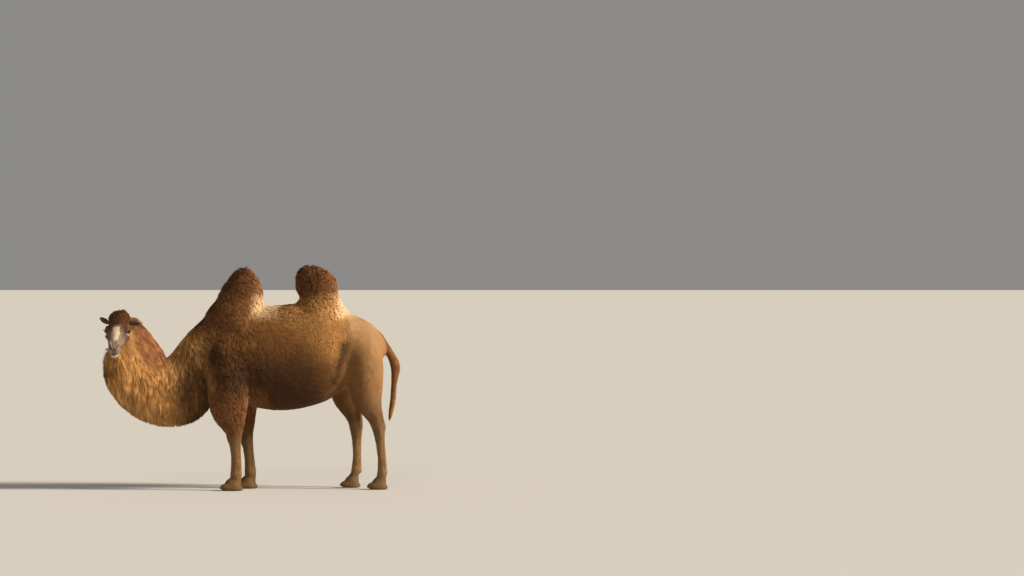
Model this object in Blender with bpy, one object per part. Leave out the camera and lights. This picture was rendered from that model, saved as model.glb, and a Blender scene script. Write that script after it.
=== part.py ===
"""Bactrian camel, life size, standing square with its head turned to its left.

The animal faces -X, its left side is at -Y, and it stands on z = 0. Flesh and the coat that lies on
it are one form, fused from lofts and then parted into named lengths. The deep hair (throat beard,
mane, forelock, hump crowns) and the tail, ears, eyes and toenails are nodes of their own.
"""

import math

import bmesh
import bpy
from mathutils import Matrix, Vector

# ---------------------------------------------------------------- driving sizes, metres and degrees
GAP = 0.0003
# Hair is cut back from copies of the flesh and of the head swollen by these.
FLESH_GROWTH = 0.0006
HEAD_GROWTH = 0.0012

FRONT_HUMP_TOP = 2.112
REAR_HUMP_TOP = 2.118
FRONT_HUMP_BASE = 1.685
REAR_HUMP_BASE = 1.735
BARREL_HALF_WIDTH = 0.375
NAPE_TO_CHEST = 0.60

HEAD_CENTRE = Vector((-1.230, -0.280, 1.490))
HEAD_TURN = math.radians(80.0)
HEAD_PITCH = math.radians(28.0)
EYE_RADIUS = 0.0205
EYE_SPREAD = 0.1015
EYE_UP = 0.010
EAR_LENGTH = 0.145
EAR_HALF_WIDTH = 0.036
THROAT = (-1.200, -0.140, 1.385)
THROAT_NORMAL = (0.0, -0.60, 0.80)
TAIL_TUFT_TOP = 0.98

FOOT_HEIGHT = 0.135
CARPUS_CUT = 0.535
HOCK_CUT = 0.600
FORELEG_TOP = 1.00
HINDLEG_TOP = 1.24
LEG_INNER_CUT = 0.062
STANCE_HALF_WIDTH = 0.175
FORE_FEET_X = (-0.150, 0.010)
HIND_FEET_X = (1.225, 1.000)
FORE_PAD_SCALE = 1.0
HIND_PAD_SCALE = 0.90

# Moves the middle of the whole animal's footprint to the origin.
CENTRING = Vector((-0.0285, 0.087, 0.0))

BODY_VOXEL = 0.015
BEARD_VOXEL = 0.011
HEAD_VOXEL = 0.0055
FOOT_VOXEL = 0.006

Y_AXIS = Vector((0.0, 1.0, 0.0))

COLOURS = {
    "wool": (0.262, 0.117, 0.044),
    "smooth_coat": (0.413, 0.226, 0.098),
    "dark_hair": (0.105, 0.037, 0.018),
    "mane_hair": (0.205, 0.075, 0.031),
    "beard_hair": (0.402, 0.188, 0.060),
    "face": (0.440, 0.345, 0.258),
    "lower_leg": (0.352, 0.216, 0.117),
    "eye": (0.016, 0.009, 0.006),
    "nail": (0.052, 0.040, 0.033),
}


# ------------------------------------------------------------------------------- building blocks
def clear_scene():
    """Removes every object, so that the model starts from nothing."""
    for obj in list(bpy.data.objects):
        bpy.data.objects.remove(obj, do_unlink=True)


def material(name):
    """The named finish, made once."""
    found = bpy.data.materials.get(name)
    if found:
        return found
    found = bpy.data.materials.new(name)
    found.use_nodes = True
    shader = found.node_tree.nodes["Principled BSDF"]
    shader.inputs["Base Color"].default_value = (*COLOURS[name], 1.0)
    shader.inputs["Roughness"].default_value = 0.1 if name == "eye" else 0.85
    shader.inputs["Metallic"].default_value = 0.0
    return found


def object_from(bm, name, finish="wool"):
    """Turns a bmesh into a linked object with smooth faces."""
    mesh = bpy.data.meshes.new(name)
    bm.to_mesh(mesh)
    bm.free()
    mesh.materials.append(material(finish))
    obj = bpy.data.objects.new(name, mesh)
    bpy.context.scene.collection.objects.link(obj)
    return obj


def apply_modifiers(obj):
    """Keeps the shape that the object's modifiers make, and drops the modifiers."""
    graph = bpy.context.evaluated_depsgraph_get()
    mesh = bpy.data.meshes.new_from_object(obj.evaluated_get(graph))
    obj.modifiers.clear()
    obj.data = mesh


def catmull(rows, steps):
    """A smooth run through rows of numbers, with steps divisions between each pair."""
    dense = []
    for i in range(len(rows) - 1):
        before = rows[max(i - 1, 0)]
        start, end = rows[i], rows[i + 1]
        after = rows[min(i + 2, len(rows) - 1)]
        for k in range(steps):
            t = k / steps
            dense.append(
                [
                    0.5 * (2 * b + (c - a) * t + (2 * a - 5 * b + 4 * c - d) * t * t
                           + (3 * b - a - 3 * c + d) * t ** 3)
                    for a, b, c, d in zip(before, start, end, after)
                ]
            )
    dense.append(list(rows[-1]))
    return dense


def add_loft(bm, rows, roundness=2.0, taper=0.0, sides=24, steps=5):
    """Adds a closed tube of oval rings along rows of (x, y, z, up, down, side).

    Each ring stands across the path, with its sideways axis near Y and its up axis along the
    path's direction crossed with that. taper narrows the upper half of each ring.
    """
    dense = catmull(rows, steps)
    rings = []
    for i, (x, y, z, up, down, side) in enumerate(dense):
        ahead = Vector(dense[min(i + 1, len(dense) - 1)][:3])
        behind = Vector(dense[max(i - 1, 0)][:3])
        tangent = (ahead - behind).normalized()
        up_axis = tangent.cross(Y_AXIS).normalized()
        side_axis = up_axis.cross(tangent).normalized()
        ring = []
        for k in range(sides):
            angle = 2 * math.pi * k / sides
            across = math.copysign(abs(math.cos(angle)) ** (2 / roundness), math.cos(angle))
            height = math.copysign(abs(math.sin(angle)) ** (2 / roundness), math.sin(angle))
            across *= max(side, 0.004) * (1 - taper * height)
            height *= max(up if height > 0 else down, 0.004)
            place = Vector((x, y, z)) + side_axis * across + up_axis * height
            ring.append(bm.verts.new(place))
        rings.append(ring)
    for one, other in zip(rings, rings[1:]):
        for k in range(sides):
            n = (k + 1) % sides
            bm.faces.new((one[k], one[n], other[n], other[k]))
    bm.faces.new(rings[0][::-1])
    bm.faces.new(rings[-1])


def add_ball(bm, centre, radii, frame=None, segments=20):
    """Adds an ellipsoid, in the given frame or in the world's."""
    place = Matrix.Translation(Vector(centre)) @ Matrix.Diagonal((*radii, 1.0))
    if frame:
        place = frame @ place
    bmesh.ops.create_uvsphere(
        bm, u_segments=segments, v_segments=segments // 2, radius=1.0, matrix=place
    )


def move_mesh(bm, frame):
    """Moves all of a bmesh from a local frame into the world's."""
    bmesh.ops.transform(bm, matrix=frame, verts=bm.verts)


def fused(bm, name, voxel, smoothing, triangles, finish="wool"):
    """Joins overlapping shells into one smooth skin with about that many triangles."""
    bmesh.ops.recalc_face_normals(bm, faces=bm.faces)
    obj = object_from(bm, name, finish)
    remesh = obj.modifiers.new("join", "REMESH")
    remesh.mode = "VOXEL"
    remesh.voxel_size = voxel
    smooth = obj.modifiers.new("soften", "SMOOTH")
    smooth.factor = 0.5
    smooth.iterations = smoothing
    apply_modifiers(obj)
    thin = obj.modifiers.new("thin", "DECIMATE")
    thin.ratio = triangles / (2 * len(obj.data.polygons))
    thin.use_collapse_triangulate = True
    apply_modifiers(obj)
    return obj


def grown(obj, name, distance):
    """A copy of the object's shape, swollen by that distance."""
    bm = bmesh.new()
    bm.from_mesh(obj.data)
    bm.normal_update()
    for vert in bm.verts:
        vert.co += vert.normal * distance
    return object_from(bm, name)


def combine(obj, cutter, operation):
    """Applies an exact Boolean of the cutter to the object."""
    cut = obj.modifiers.new("cut", "BOOLEAN")
    cut.operation = operation
    cut.solver = "EXACT"
    cut.object = cutter
    apply_modifiers(obj)


def remove(obj):
    bpy.data.objects.remove(obj, do_unlink=True)


def box_between(name, low, high, margin=0.0, lean=0.0):
    """A cutting box, grown by margin on each side and leaning about Y by lean degrees."""
    low, high = Vector(low), Vector(high)
    size = high - low + Vector((margin, margin, margin)) * 2
    place = (
        Matrix.Translation((low + high) / 2)
        @ Matrix.Rotation(math.radians(lean), 4, "Y")
        @ Matrix.Diagonal((*size, 1.0))
    )
    return cutting_cube(name, place)


def block_on(name, point, normal, width, height, margin=0.0):
    """A cutting block that stands on a plane through point and reaches along normal."""
    normal = Vector(normal).normalized()
    turn = normal.to_track_quat("Z", "Y").to_matrix().to_4x4()
    middle = Vector(point) + normal * (height / 2 - margin)
    place = Matrix.Translation(middle) @ turn @ Matrix.Diagonal((width, width, height, 1.0))
    return cutting_cube(name, place)


def cutting_cube(name, place):
    bm = bmesh.new()
    bmesh.ops.create_cube(bm, size=1.0, matrix=place)
    cube = object_from(bm, name)
    cube.hide_render = True
    cube.display_type = "WIRE"
    return cube


def split(body, name, make_cutter, finish):
    """Parts what lies inside a cutter off as a node of its own, a hair's breadth away.

    make_cutter(margin) gives the cutter, grown by margin.
    """
    piece = bpy.data.objects.new(name, body.data.copy())
    bpy.context.scene.collection.objects.link(piece)
    inside, outside = make_cutter(0.0), make_cutter(GAP)
    combine(piece, inside, "INTERSECT")
    combine(body, outside, "DIFFERENCE")
    remove(inside)
    remove(outside)
    piece.data.materials.clear()
    piece.data.materials.append(material(finish))
    keep_largest(piece)
    return piece


def keep_largest(obj):
    """Drops crumbs that a cut left beside the main body, and makes its faces triangles."""
    bm = bmesh.new()
    bm.from_mesh(obj.data)
    left = set(bm.faces)
    islands = []
    while left:
        island, queue = set(), [left.pop()]
        while queue:
            face = queue.pop()
            island.add(face)
            for edge in face.edges:
                for other in edge.link_faces:
                    if other in left:
                        left.discard(other)
                        queue.append(other)
        islands.append(island)
    main_body = max(islands, key=lambda faces: sum(face.calc_area() for face in faces))
    crumbs = [face for face in bm.faces if face not in main_body]
    bmesh.ops.delete(bm, geom=crumbs, context="FACES")
    bmesh.ops.triangulate(bm, faces=bm.faces)
    bm.to_mesh(obj.data)
    bm.free()


def without(obj, *others):
    """Cuts the object back from its neighbours."""
    for other in others:
        combine(obj, other, "DIFFERENCE")
    return obj


# --------------------------------------------------------------------------------- body's rows
def trunk_rows():
    """Barrel and rump from the breast to the tail: broad and deep, tucked up at the flank."""
    wide = BARREL_HALF_WIDTH
    return [
        (-0.43, 0, 1.17, 0.18, 0.18, 0.30 * wide),
        (-0.35, 0, 1.18, 0.31, 0.31, 0.58 * wide),
        (-0.20, 0, 1.19, 0.41, 0.40, 0.80 * wide),
        (0.00, 0, 1.22, 0.46, 0.455, 0.92 * wide),
        (0.20, 0, 1.233, 0.50, 0.50, 0.98 * wide),
        (0.40, 0, 1.250, 0.51, 0.51, wide),
        (0.60, 0, 1.280, 0.49, 0.485, 0.985 * wide),
        (0.78, 0, 1.320, 0.43, 0.42, 0.92 * wide),
        (0.92, 0, 1.335, 0.350, 0.345, 0.76 * wide),
        (1.05, 0, 1.320, 0.290, 0.280, 0.73 * wide),
        (1.15, 0, 1.285, 0.235, 0.235, 0.68 * wide),
        (1.225, 0, 1.255, 0.165, 0.175, 0.54 * wide),
        (1.272, 0, 1.225, 0.075, 0.085, 0.29 * wide),
    ]


def front_hump_rows():
    """Upright cone, long in front where it runs into the nape, steep behind."""
    top = FRONT_HUMP_TOP
    return [
        (-0.10, 0, top - 0.61, 0.33, 0.29, 0.270),
        (-0.09, 0, top - 0.49, 0.330, 0.27, 0.245),
        (-0.07, 0, top - 0.36, 0.248, 0.235, 0.200),
        (-0.06, 0, top - 0.26, 0.220, 0.205, 0.165),
        (-0.05, 0, top - 0.17, 0.145, 0.150, 0.125),
        (-0.05, 0, top - 0.11, 0.095, 0.095, 0.085),
        (-0.05, 0, top - 0.075, 0.04, 0.04, 0.04),
    ]


def rear_hump_rows():
    """Broader hump over the loin, its rear slope running down to the rump."""
    top = REAR_HUMP_TOP
    return [
        (0.66, 0, top - 0.55, 0.32, 0.34, 0.290),
        (0.66, 0, top - 0.43, 0.25, 0.29, 0.245),
        (0.66, 0, top - 0.34, 0.195, 0.235, 0.205),
        (0.655, 0, top - 0.25, 0.175, 0.190, 0.168),
        (0.65, 0, top - 0.17, 0.150, 0.155, 0.130),
        (0.65, 0, top - 0.11, 0.105, 0.105, 0.090),
        (0.65, 0, top - 0.075, 0.04, 0.04, 0.04),
    ]


def neck_rows():
    """Neck from the poll down, round its U-bend and up into the shoulders."""
    deep = NAPE_TO_CHEST
    return [
        (-1.195, -0.075, 1.600, 0.070, 0.060, 0.070),
        (-1.190, -0.085, 1.520, 0.115, 0.105, 0.110),
        (-1.180, -0.100, 1.400, 0.145, 0.135, 0.130),
        (-1.145, -0.105, 1.250, 0.155, 0.150, 0.138),
        (-1.060, -0.100, 1.120, 0.165, 0.160, 0.142),
        (-0.930, -0.085, 1.045, 0.175, 0.170, 0.148),
        (-0.780, -0.060, 1.030, 0.190, 0.185, 0.155),
        (-0.620, -0.035, 1.090, 0.225, 0.205, 0.172),
        (-0.470, -0.015, 1.200, 0.45 * deep, 0.39 * deep, 0.200),
        (-0.300, 0.0, 1.320, 0.53 * deep, 0.47 * deep, 0.230),
        (-0.120, 0.0, 1.380, 0.50 * deep, 0.50 * deep, 0.250),
    ]


def foreleg_rows(side, foot_x):
    """Shoulder, woolly forearm, knee and cannon; the leg slants to where its foot stands."""
    y = STANCE_HALF_WIDTH
    rows = [
        (-0.10, y - 0.100, 1.58, 0.05, 0.05, 0.050),
        (-0.15, y - 0.045, 1.47, 0.12, 0.13, 0.095),
        (-0.17, y + 0.005, 1.33, 0.17, 0.175, 0.118),
        (-0.19, y + 0.040, 1.18, 0.20, 0.205, 0.130),
        (-0.195, y + 0.055, 1.00, 0.210, 0.210, 0.132),
        (-0.200, y + 0.045, 0.85, 0.200, 0.200, 0.128),
        (-0.178, y + 0.035, 0.70, 0.172, 0.172, 0.118),
        (-0.152, y + 0.025, 0.61, 0.128, 0.128, 0.100),
        (-0.140, y + 0.015, 0.55, 0.088, 0.088, 0.079),
        (-0.138, y + 0.010, 0.49, 0.071, 0.076, 0.070),
        (-0.130, y + 0.005, 0.42, 0.059, 0.061, 0.056),
        (-0.122, y, 0.30, 0.054, 0.054, 0.050),
        (-0.119, y, 0.20, 0.059, 0.057, 0.055),
        (-0.120, y, 0.13, 0.060, 0.062, 0.057),
        (-0.120, y, 0.04, 0.060, 0.062, 0.057),
    ]
    return slanted(rows, side, foot_x + 0.030 - rows[-1][0])


def hindleg_rows(side, foot_x):
    """Thigh, gaskin, hock and cannon; the hock's point stands behind the leg."""
    y = STANCE_HALF_WIDTH
    rows = [
        (1.030, y - 0.075, 1.56, 0.050, 0.060, 0.050),
        (1.055, y - 0.030, 1.47, 0.100, 0.130, 0.090),
        (1.075, y + 0.005, 1.33, 0.150, 0.170, 0.125),
        (1.093, y + 0.025, 1.17, 0.178, 0.182, 0.140),
        (1.098, y + 0.028, 1.07, 0.173, 0.175, 0.135),
        (1.104, y + 0.025, 0.97, 0.163, 0.165, 0.122),
        (1.112, y + 0.020, 0.86, 0.150, 0.158, 0.104),
        (1.160, y + 0.012, 0.74, 0.104, 0.110, 0.082),
        (1.192, y + 0.008, 0.66, 0.088, 0.080, 0.066),
        (1.212, y + 0.004, 0.58, 0.082, 0.066, 0.062),
        (1.228, y, 0.50, 0.058, 0.059, 0.054),
        (1.240, y, 0.40, 0.050, 0.051, 0.047),
        (1.252, y, 0.28, 0.048, 0.048, 0.046),
        (1.255, y, 0.20, 0.053, 0.052, 0.051),
        (1.255, y, 0.13, 0.055, 0.056, 0.052),
        (1.255, y, 0.04, 0.055, 0.056, 0.052),
    ]
    return slanted(rows, side, foot_x + 0.030 - rows[-1][0])


def slanted(rows, side, reach):
    """Mirrors a leg to its side and slides it along X, by nothing at the top to reach at the foot."""
    top = rows[0][2]
    moved = []
    for x, y, z, rear, front, half in rows:
        share = math.sqrt(max(0.0, 1 - z / top))
        moved.append((x + reach * share, side * y, z, rear, front, half))
    return moved


# ------------------------------------------------------------------------------------ the forms
def body_form():
    """Trunk, humps, neck and legs down to the fetlocks, as one skin."""
    bm = bmesh.new()
    add_loft(bm, trunk_rows(), roundness=2.25, taper=0.10)
    add_loft(bm, front_hump_rows())
    add_loft(bm, rear_hump_rows())
    add_loft(bm, neck_rows(), roundness=2.1)
    for k, side in enumerate((-1, 1)):
        add_loft(bm, foreleg_rows(side, FORE_FEET_X[k]), roundness=2.1)
        add_loft(bm, hindleg_rows(side, HIND_FEET_X[k]), roundness=2.1)
        # Fold of skin from the flank to the stifle.
        add_loft(
            bm,
            [
                (0.72, side * 0.16, 1.16, 0.10, 0.10, 0.13),
                (0.85, side * 0.19, 1.12, 0.11, 0.11, 0.09),
                (0.98, side * 0.20, 1.08, 0.10, 0.10, 0.07),
                (1.08, side * 0.20, 1.06, 0.06, 0.06, 0.05),
            ],
        )
    return fused(bm, "body_form", BODY_VOXEL, 20, 2300)


def head_frame():
    """Local frame of the head: X to the muzzle, Y to its left, Z to its crown."""
    heading = Vector((-math.cos(HEAD_TURN), -math.sin(HEAD_TURN), 0.0))
    ahead = heading * math.cos(HEAD_PITCH) - Vector((0, 0, math.sin(HEAD_PITCH)))
    left = Vector((0, 0, 1)).cross(heading)
    crown = ahead.cross(left)
    frame = Matrix((ahead, left, crown)).transposed().to_4x4()
    frame.translation = HEAD_CENTRE
    return frame


def head_form():
    """Skull, brows, cheeks, nose and lips in the head's frame, with a stub of the neck."""
    bm = bmesh.new()
    add_loft(
        bm,
        [
            (-0.215, 0, -0.020, 0.045, 0.060, 0.050),
            (-0.190, 0, -0.022, 0.082, 0.095, 0.082),
            (-0.140, 0, -0.030, 0.113, 0.122, 0.102),
            (-0.080, 0, -0.035, 0.128, 0.132, 0.112),
            (-0.020, 0, -0.030, 0.121, 0.122, 0.115),
            (0.030, 0, -0.030, 0.111, 0.108, 0.101),
            (0.080, 0, -0.030, 0.097, 0.095, 0.078),
            (0.140, 0, -0.030, 0.084, 0.087, 0.058),
            (0.200, 0, -0.030, 0.077, 0.084, 0.052),
            (0.250, 0, -0.032, 0.068, 0.078, 0.050),
            (0.285, 0, -0.036, 0.052, 0.066, 0.044),
            (0.308, 0, -0.042, 0.026, 0.040, 0.028),
        ],
        roundness=2.2,
        taper=0.10,
    )
    for side in (-1, 1):
        add_ball(bm, (-0.010, side * 0.090, 0.033), (0.062, 0.033, 0.021))
        add_ball(bm, (0.006, side * 0.094, -0.034), (0.048, 0.026, 0.020))
        add_ball(bm, (-0.085, side * 0.066, -0.078), (0.092, 0.046, 0.076))
        add_ball(bm, (0.085, side * 0.056, -0.045), (0.095, 0.022, 0.024))
        add_ball(bm, (0.243, side * 0.033, 0.010), (0.044, 0.022, 0.026))
        add_ball(bm, (0.272, side * 0.026, -0.036), (0.044, 0.031, 0.040))
    add_ball(bm, (0.250, 0, -0.101), (0.054, 0.040, 0.028))
    move_mesh(bm, head_frame())
    add_loft(bm, neck_rows()[:5], roundness=2.1)
    return fused(bm, "head", HEAD_VOXEL, 5, 1100, "face")


def mass(name, rows, triangles, finish, roundness=2.0, taper=0.0, voxel=BODY_VOXEL):
    """A closed body of long hair, before it is cut back from the flesh under it."""
    bm = bmesh.new()
    add_loft(bm, rows, roundness, taper)
    return fused(bm, name, voxel, 4, triangles, finish)


def hanging_rows(spans, width):
    """Rows for hair that hangs between the neck's core and an outer line.

    Each span is (core x, y, z, outer x, y, z, share of the full width).
    """
    rows = []
    for cx, cy, cz, ox, oy, oz, share in spans:
        core, outer = Vector((cx, cy, cz)), Vector((ox, oy, oz))
        middle = (core + outer) / 2
        half = (outer - core).length / 2
        rows.append((*middle, half, half, width * share))
    return rows


def throat_beard():
    """Long hair under the neck, from the chin round the bend to the breast."""
    spans = [
        (-1.200, -0.15, 1.380, -1.325, -0.25, 1.320, 0.75),
        (-1.170, -0.14, 1.280, -1.362, -0.20, 1.165, 0.95),
        (-1.110, -0.12, 1.180, -1.328, -0.16, 0.985, 1.0),
        (-1.010, -0.11, 1.090, -1.205, -0.13, 0.800, 1.0),
        (-0.900, -0.09, 1.050, -1.035, -0.10, 0.668, 1.0),
        (-0.780, -0.07, 1.040, -0.855, -0.07, 0.597, 1.0),
        (-0.650, -0.05, 1.080, -0.680, -0.05, 0.592, 1.0),
        (-0.540, -0.03, 1.140, -0.550, -0.03, 0.665, 0.95),
        (-0.460, -0.01, 1.190, -0.460, -0.01, 0.815, 0.75),
        (-0.410, 0.0, 1.210, -0.410, 0.0, 0.980, 0.5),
    ]
    bm = bmesh.new()
    add_loft(bm, hanging_rows(spans, 0.098), taper=-0.50)
    for centre, radii in (
        ((-1.215, -0.210, 1.325), (0.062, 0.080, 0.070)),
        ((-1.230, -0.300, 1.285), (0.046, 0.070, 0.058)),
        ((-1.243, -0.375, 1.245), (0.032, 0.048, 0.055)),
    ):
        add_ball(bm, centre, radii)
    return fused(bm, "throat_beard", BEARD_VOXEL, 6, 280, "beard_hair")


def mane():
    """Upright hair on the nape, from the poll down to the bottom of the bend."""
    spans = [
        (-1.200, -0.06, 1.580, -1.120, 0.00, 1.660, 0.70),
        (-1.190, -0.08, 1.490, -0.995, -0.02, 1.578, 0.95),
        (-1.180, -0.10, 1.390, -0.905, -0.04, 1.462, 1.0),
        (-1.140, -0.10, 1.270, -0.830, -0.05, 1.360, 1.0),
        (-1.050, -0.10, 1.150, -0.775, -0.05, 1.297, 1.0),
        (-0.920, -0.08, 1.070, -0.730, -0.05, 1.262, 0.85),
        (-0.830, -0.06, 1.080, -0.690, -0.05, 1.258, 0.55),
    ]
    return mass("mane", hanging_rows(spans, 0.108), 170, "mane_hair", taper=0.28)


def hump_crown(name, rows, triangles):
    """Curly cap over a hump's top, standing a little proud of the coat below its rim."""
    return mass(name, rows, triangles, "dark_hair", roundness=2.15)


def front_crown_rows():
    top = FRONT_HUMP_TOP
    return [
        (-0.055, 0, top - 0.285, 0.205, 0.212, 0.172),
        (-0.055, 0, top - 0.240, 0.205, 0.215, 0.174),
        (-0.045, 0, top - 0.165, 0.172, 0.180, 0.152),
        (-0.042, 0, top - 0.090, 0.138, 0.132, 0.122),
        (-0.048, 0, top - 0.030, 0.092, 0.082, 0.080),
        (-0.050, 0, top + 0.004, 0.030, 0.030, 0.030),
    ]


def rear_crown_rows():
    top = REAR_HUMP_TOP
    return [
        (0.650, 0, top - 0.280, 0.190, 0.215, 0.184),
        (0.648, 0, top - 0.230, 0.208, 0.215, 0.186),
        (0.642, 0, top - 0.160, 0.214, 0.208, 0.172),
        (0.638, 0, top - 0.090, 0.198, 0.185, 0.148),
        (0.645, 0, top - 0.030, 0.140, 0.140, 0.104),
        (0.655, 0, top + 0.004, 0.050, 0.050, 0.040),
    ]


def forelock():
    """Mop of curly hair on the crown, hanging a little over the forehead."""
    bm = bmesh.new()
    for centre, radii in (
        ((-0.105, 0.010, 0.085), (0.105, 0.108, 0.082)),
        ((-0.035, 0.000, 0.078), (0.060, 0.088, 0.046)),
        ((-0.130, 0.030, 0.115), (0.065, 0.062, 0.060)),
    ):
        add_ball(bm, centre, radii)
    move_mesh(bm, head_frame())
    return fused(bm, "forelock", HEAD_VOXEL, 6, 140, "dark_hair")


def ear(name, side, direction):
    """A rounded, cupped leaf that stands out from behind the eye."""
    axis = Vector(direction).normalized()
    base = Vector((-0.118, side * 0.084, 0.030))
    across = (Vector((0.35, 0.0, 0.94)) - axis * axis.dot(Vector((0.35, 0.0, 0.94)))).normalized()
    facing = axis.cross(across)
    if facing.x < 0:
        facing.negate()
        across.negate()
    place = Matrix((axis, across, facing)).transposed().to_4x4()
    place.translation = base + axis * EAR_LENGTH / 2
    place = head_frame() @ place
    bm = bmesh.new()
    add_ball(bm, (0, 0, 0), (EAR_LENGTH / 2, EAR_HALF_WIDTH, 0.020), place)
    add_ball(bm, (0.016, 0, 0), (EAR_LENGTH / 2 - 0.018, EAR_HALF_WIDTH + 0.002, 0.018), place)
    leaf = fused(bm, name, HEAD_VOXEL, 1, 90, "face")
    hollow = bmesh.new()
    scoop_radii = (EAR_LENGTH / 2 - 0.018, EAR_HALF_WIDTH - 0.011, 0.024)
    add_ball(hollow, (0.016, 0, 0.024), scoop_radii, place, 10)
    bmesh.ops.recalc_face_normals(hollow, faces=hollow.faces)
    scoop = object_from(hollow, "scoop")
    combine(leaf, scoop, "DIFFERENCE")
    remove(scoop)
    return leaf


def eyeball(name, side, radius):
    bm = bmesh.new()
    add_ball(bm, (0, side * EYE_SPREAD, EYE_UP), (radius,) * 3, head_frame(), 12)
    bmesh.ops.recalc_face_normals(bm, faces=bm.faces)
    return object_from(bm, name, "eye")


def foot_form(name, scale, place):
    """A broad cushioned pad with two toes, cut flat underneath."""
    bm = bmesh.new()
    rows = [
        (0.030, 0, 0.240, 0.050, 0.050, 0.047),
        (0.030, 0, 0.150, 0.051, 0.053, 0.049),
        (0.022, 0, 0.100, 0.056, 0.062, 0.056),
        (0.006, 0, 0.062, 0.078, 0.082, 0.074),
        (0.002, 0, 0.028, 0.094, 0.096, 0.088),
        (0.002, 0, -0.025, 0.092, 0.094, 0.086),
    ]
    add_loft(bm, rows)
    for side in (-1, 1):
        add_ball(bm, (-0.058, side * 0.041, 0.026), (0.060, 0.046, 0.042))
    move_mesh(bm, Matrix.Translation(place) @ Matrix.Diagonal((scale, scale, 1.0, 1.0)))
    foot = fused(bm, name, FOOT_VOXEL, 3, 190, "lower_leg")
    low = box_between("low", place + Vector((-1, -1, -1)), place + Vector((1, 1, 0)))
    high = box_between(
        "high", place + Vector((-1, -1, FOOT_HEIGHT - GAP)), place + Vector((1, 1, 2))
    )
    without(foot, low, high)
    remove(low)
    remove(high)
    return foot


def toenails(leg, foot, scale, place):
    """Two short blunt nails at the front of the pad."""
    swollen = grown(foot, "swollen", FLESH_GROWTH)
    for side, which in ((-1, "a"), (1, "b")):
        bm = bmesh.new()
        centre = place + Vector((-0.106 * scale, side * 0.043 * scale, 0.030))
        add_ball(bm, centre, (0.020, 0.019, 0.021), None, 8)
        bmesh.ops.recalc_face_normals(bm, faces=bm.faces)
        nail = object_from(bm, f"{leg}_nail_{which}", "nail")
        without(nail, swollen)
    remove(swollen)


def tail_rows():
    """Dock and tuft, hanging close behind the buttocks."""
    return [
        (1.190, 0, 1.500, 0.036, 0.036, 0.040),
        (1.240, 0, 1.452, 0.038, 0.034, 0.042),
        (1.290, 0, 1.372, 0.040, 0.034, 0.044),
        (1.350, 0, 1.264, 0.048, 0.042, 0.046),
        (1.394, 0, 1.160, 0.056, 0.046, 0.048),
        (1.388, 0, 1.060, 0.040, 0.036, 0.040),
        (1.380, 0, 0.950, 0.032, 0.030, 0.036),
        (1.374, 0, 0.840, 0.030, 0.030, 0.034),
        (1.350, 0, 0.720, 0.026, 0.026, 0.026),
        (1.335, 0, 0.635, 0.012, 0.012, 0.012),
    ]


# ------------------------------------------------------------------------------------- assembly
def split_box(body, name, low, high, lean=0.0, finish="wool"):
    return split(body, name, lambda margin: box_between("box", low, high, margin, lean), finish)


def split_block(body, name, point, normal, width, height, finish):
    return split(
        body,
        name,
        lambda margin: block_on("block", point, normal, width, height, margin),
        finish,
    )


def part_body(body):
    """Divides the fused body where a person would name its parts."""
    far = 1.0
    feet = box_between("feet", (-2, -far, -far), (2, far, FOOT_HEIGHT))
    without(body, feet)
    remove(feet)
    split_box(body, "hump_front", (-0.52, -0.5, FRONT_HUMP_BASE), (0.247, 0.5, 2.5), lean=-8.0)
    split_box(body, "hump_rear", (0.250, -0.5, REAR_HUMP_BASE), (1.10, 0.5, 2.6), lean=6.0)
    legs = (
        ("fore_left", -1, (-0.47, 0.12), FORELEG_TOP, CARPUS_CUT),
        ("fore_right", 1, (-0.47, 0.22), FORELEG_TOP, CARPUS_CUT),
        ("hind_left", -1, (0.92, 1.45), HINDLEG_TOP, HOCK_CUT),
        ("hind_right", 1, (0.76, 1.45), HINDLEG_TOP, HOCK_CUT),
    )
    for name, side, (front, rear), top, joint in legs:
        inner, outer = sorted((side * LEG_INNER_CUT, side * 0.60))
        split_box(body, f"{name}_lower", (front, inner, 0), (rear, outer, joint), 0, "lower_leg")
        finish = "dark_hair" if name.startswith("fore") else "smooth_coat"
        split_box(body, f"{name}_upper", (front, inner, joint - 0.1), (rear, outer, top), 0, finish)
    head_side = split_block(body, "spare", THROAT, THROAT_NORMAL, 0.62, 0.6, "wool")
    remove(head_side)
    split_block(body, "neck_upper", (-1.10, -0.1, 1.165), (-0.3, 0, 0.95), 0.62, 0.6, "wool")
    split_block(body, "neck_bend", (-0.80, -0.06, 1.04), (-1, 0, 0.10), 0.80, 0.9, "wool")
    split_block(body, "neck_base", (-0.42, 0, 1.25), (-0.94, 0, -0.34), 1.30, 0.9, "wool")
    body.name = "trunk"


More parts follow.
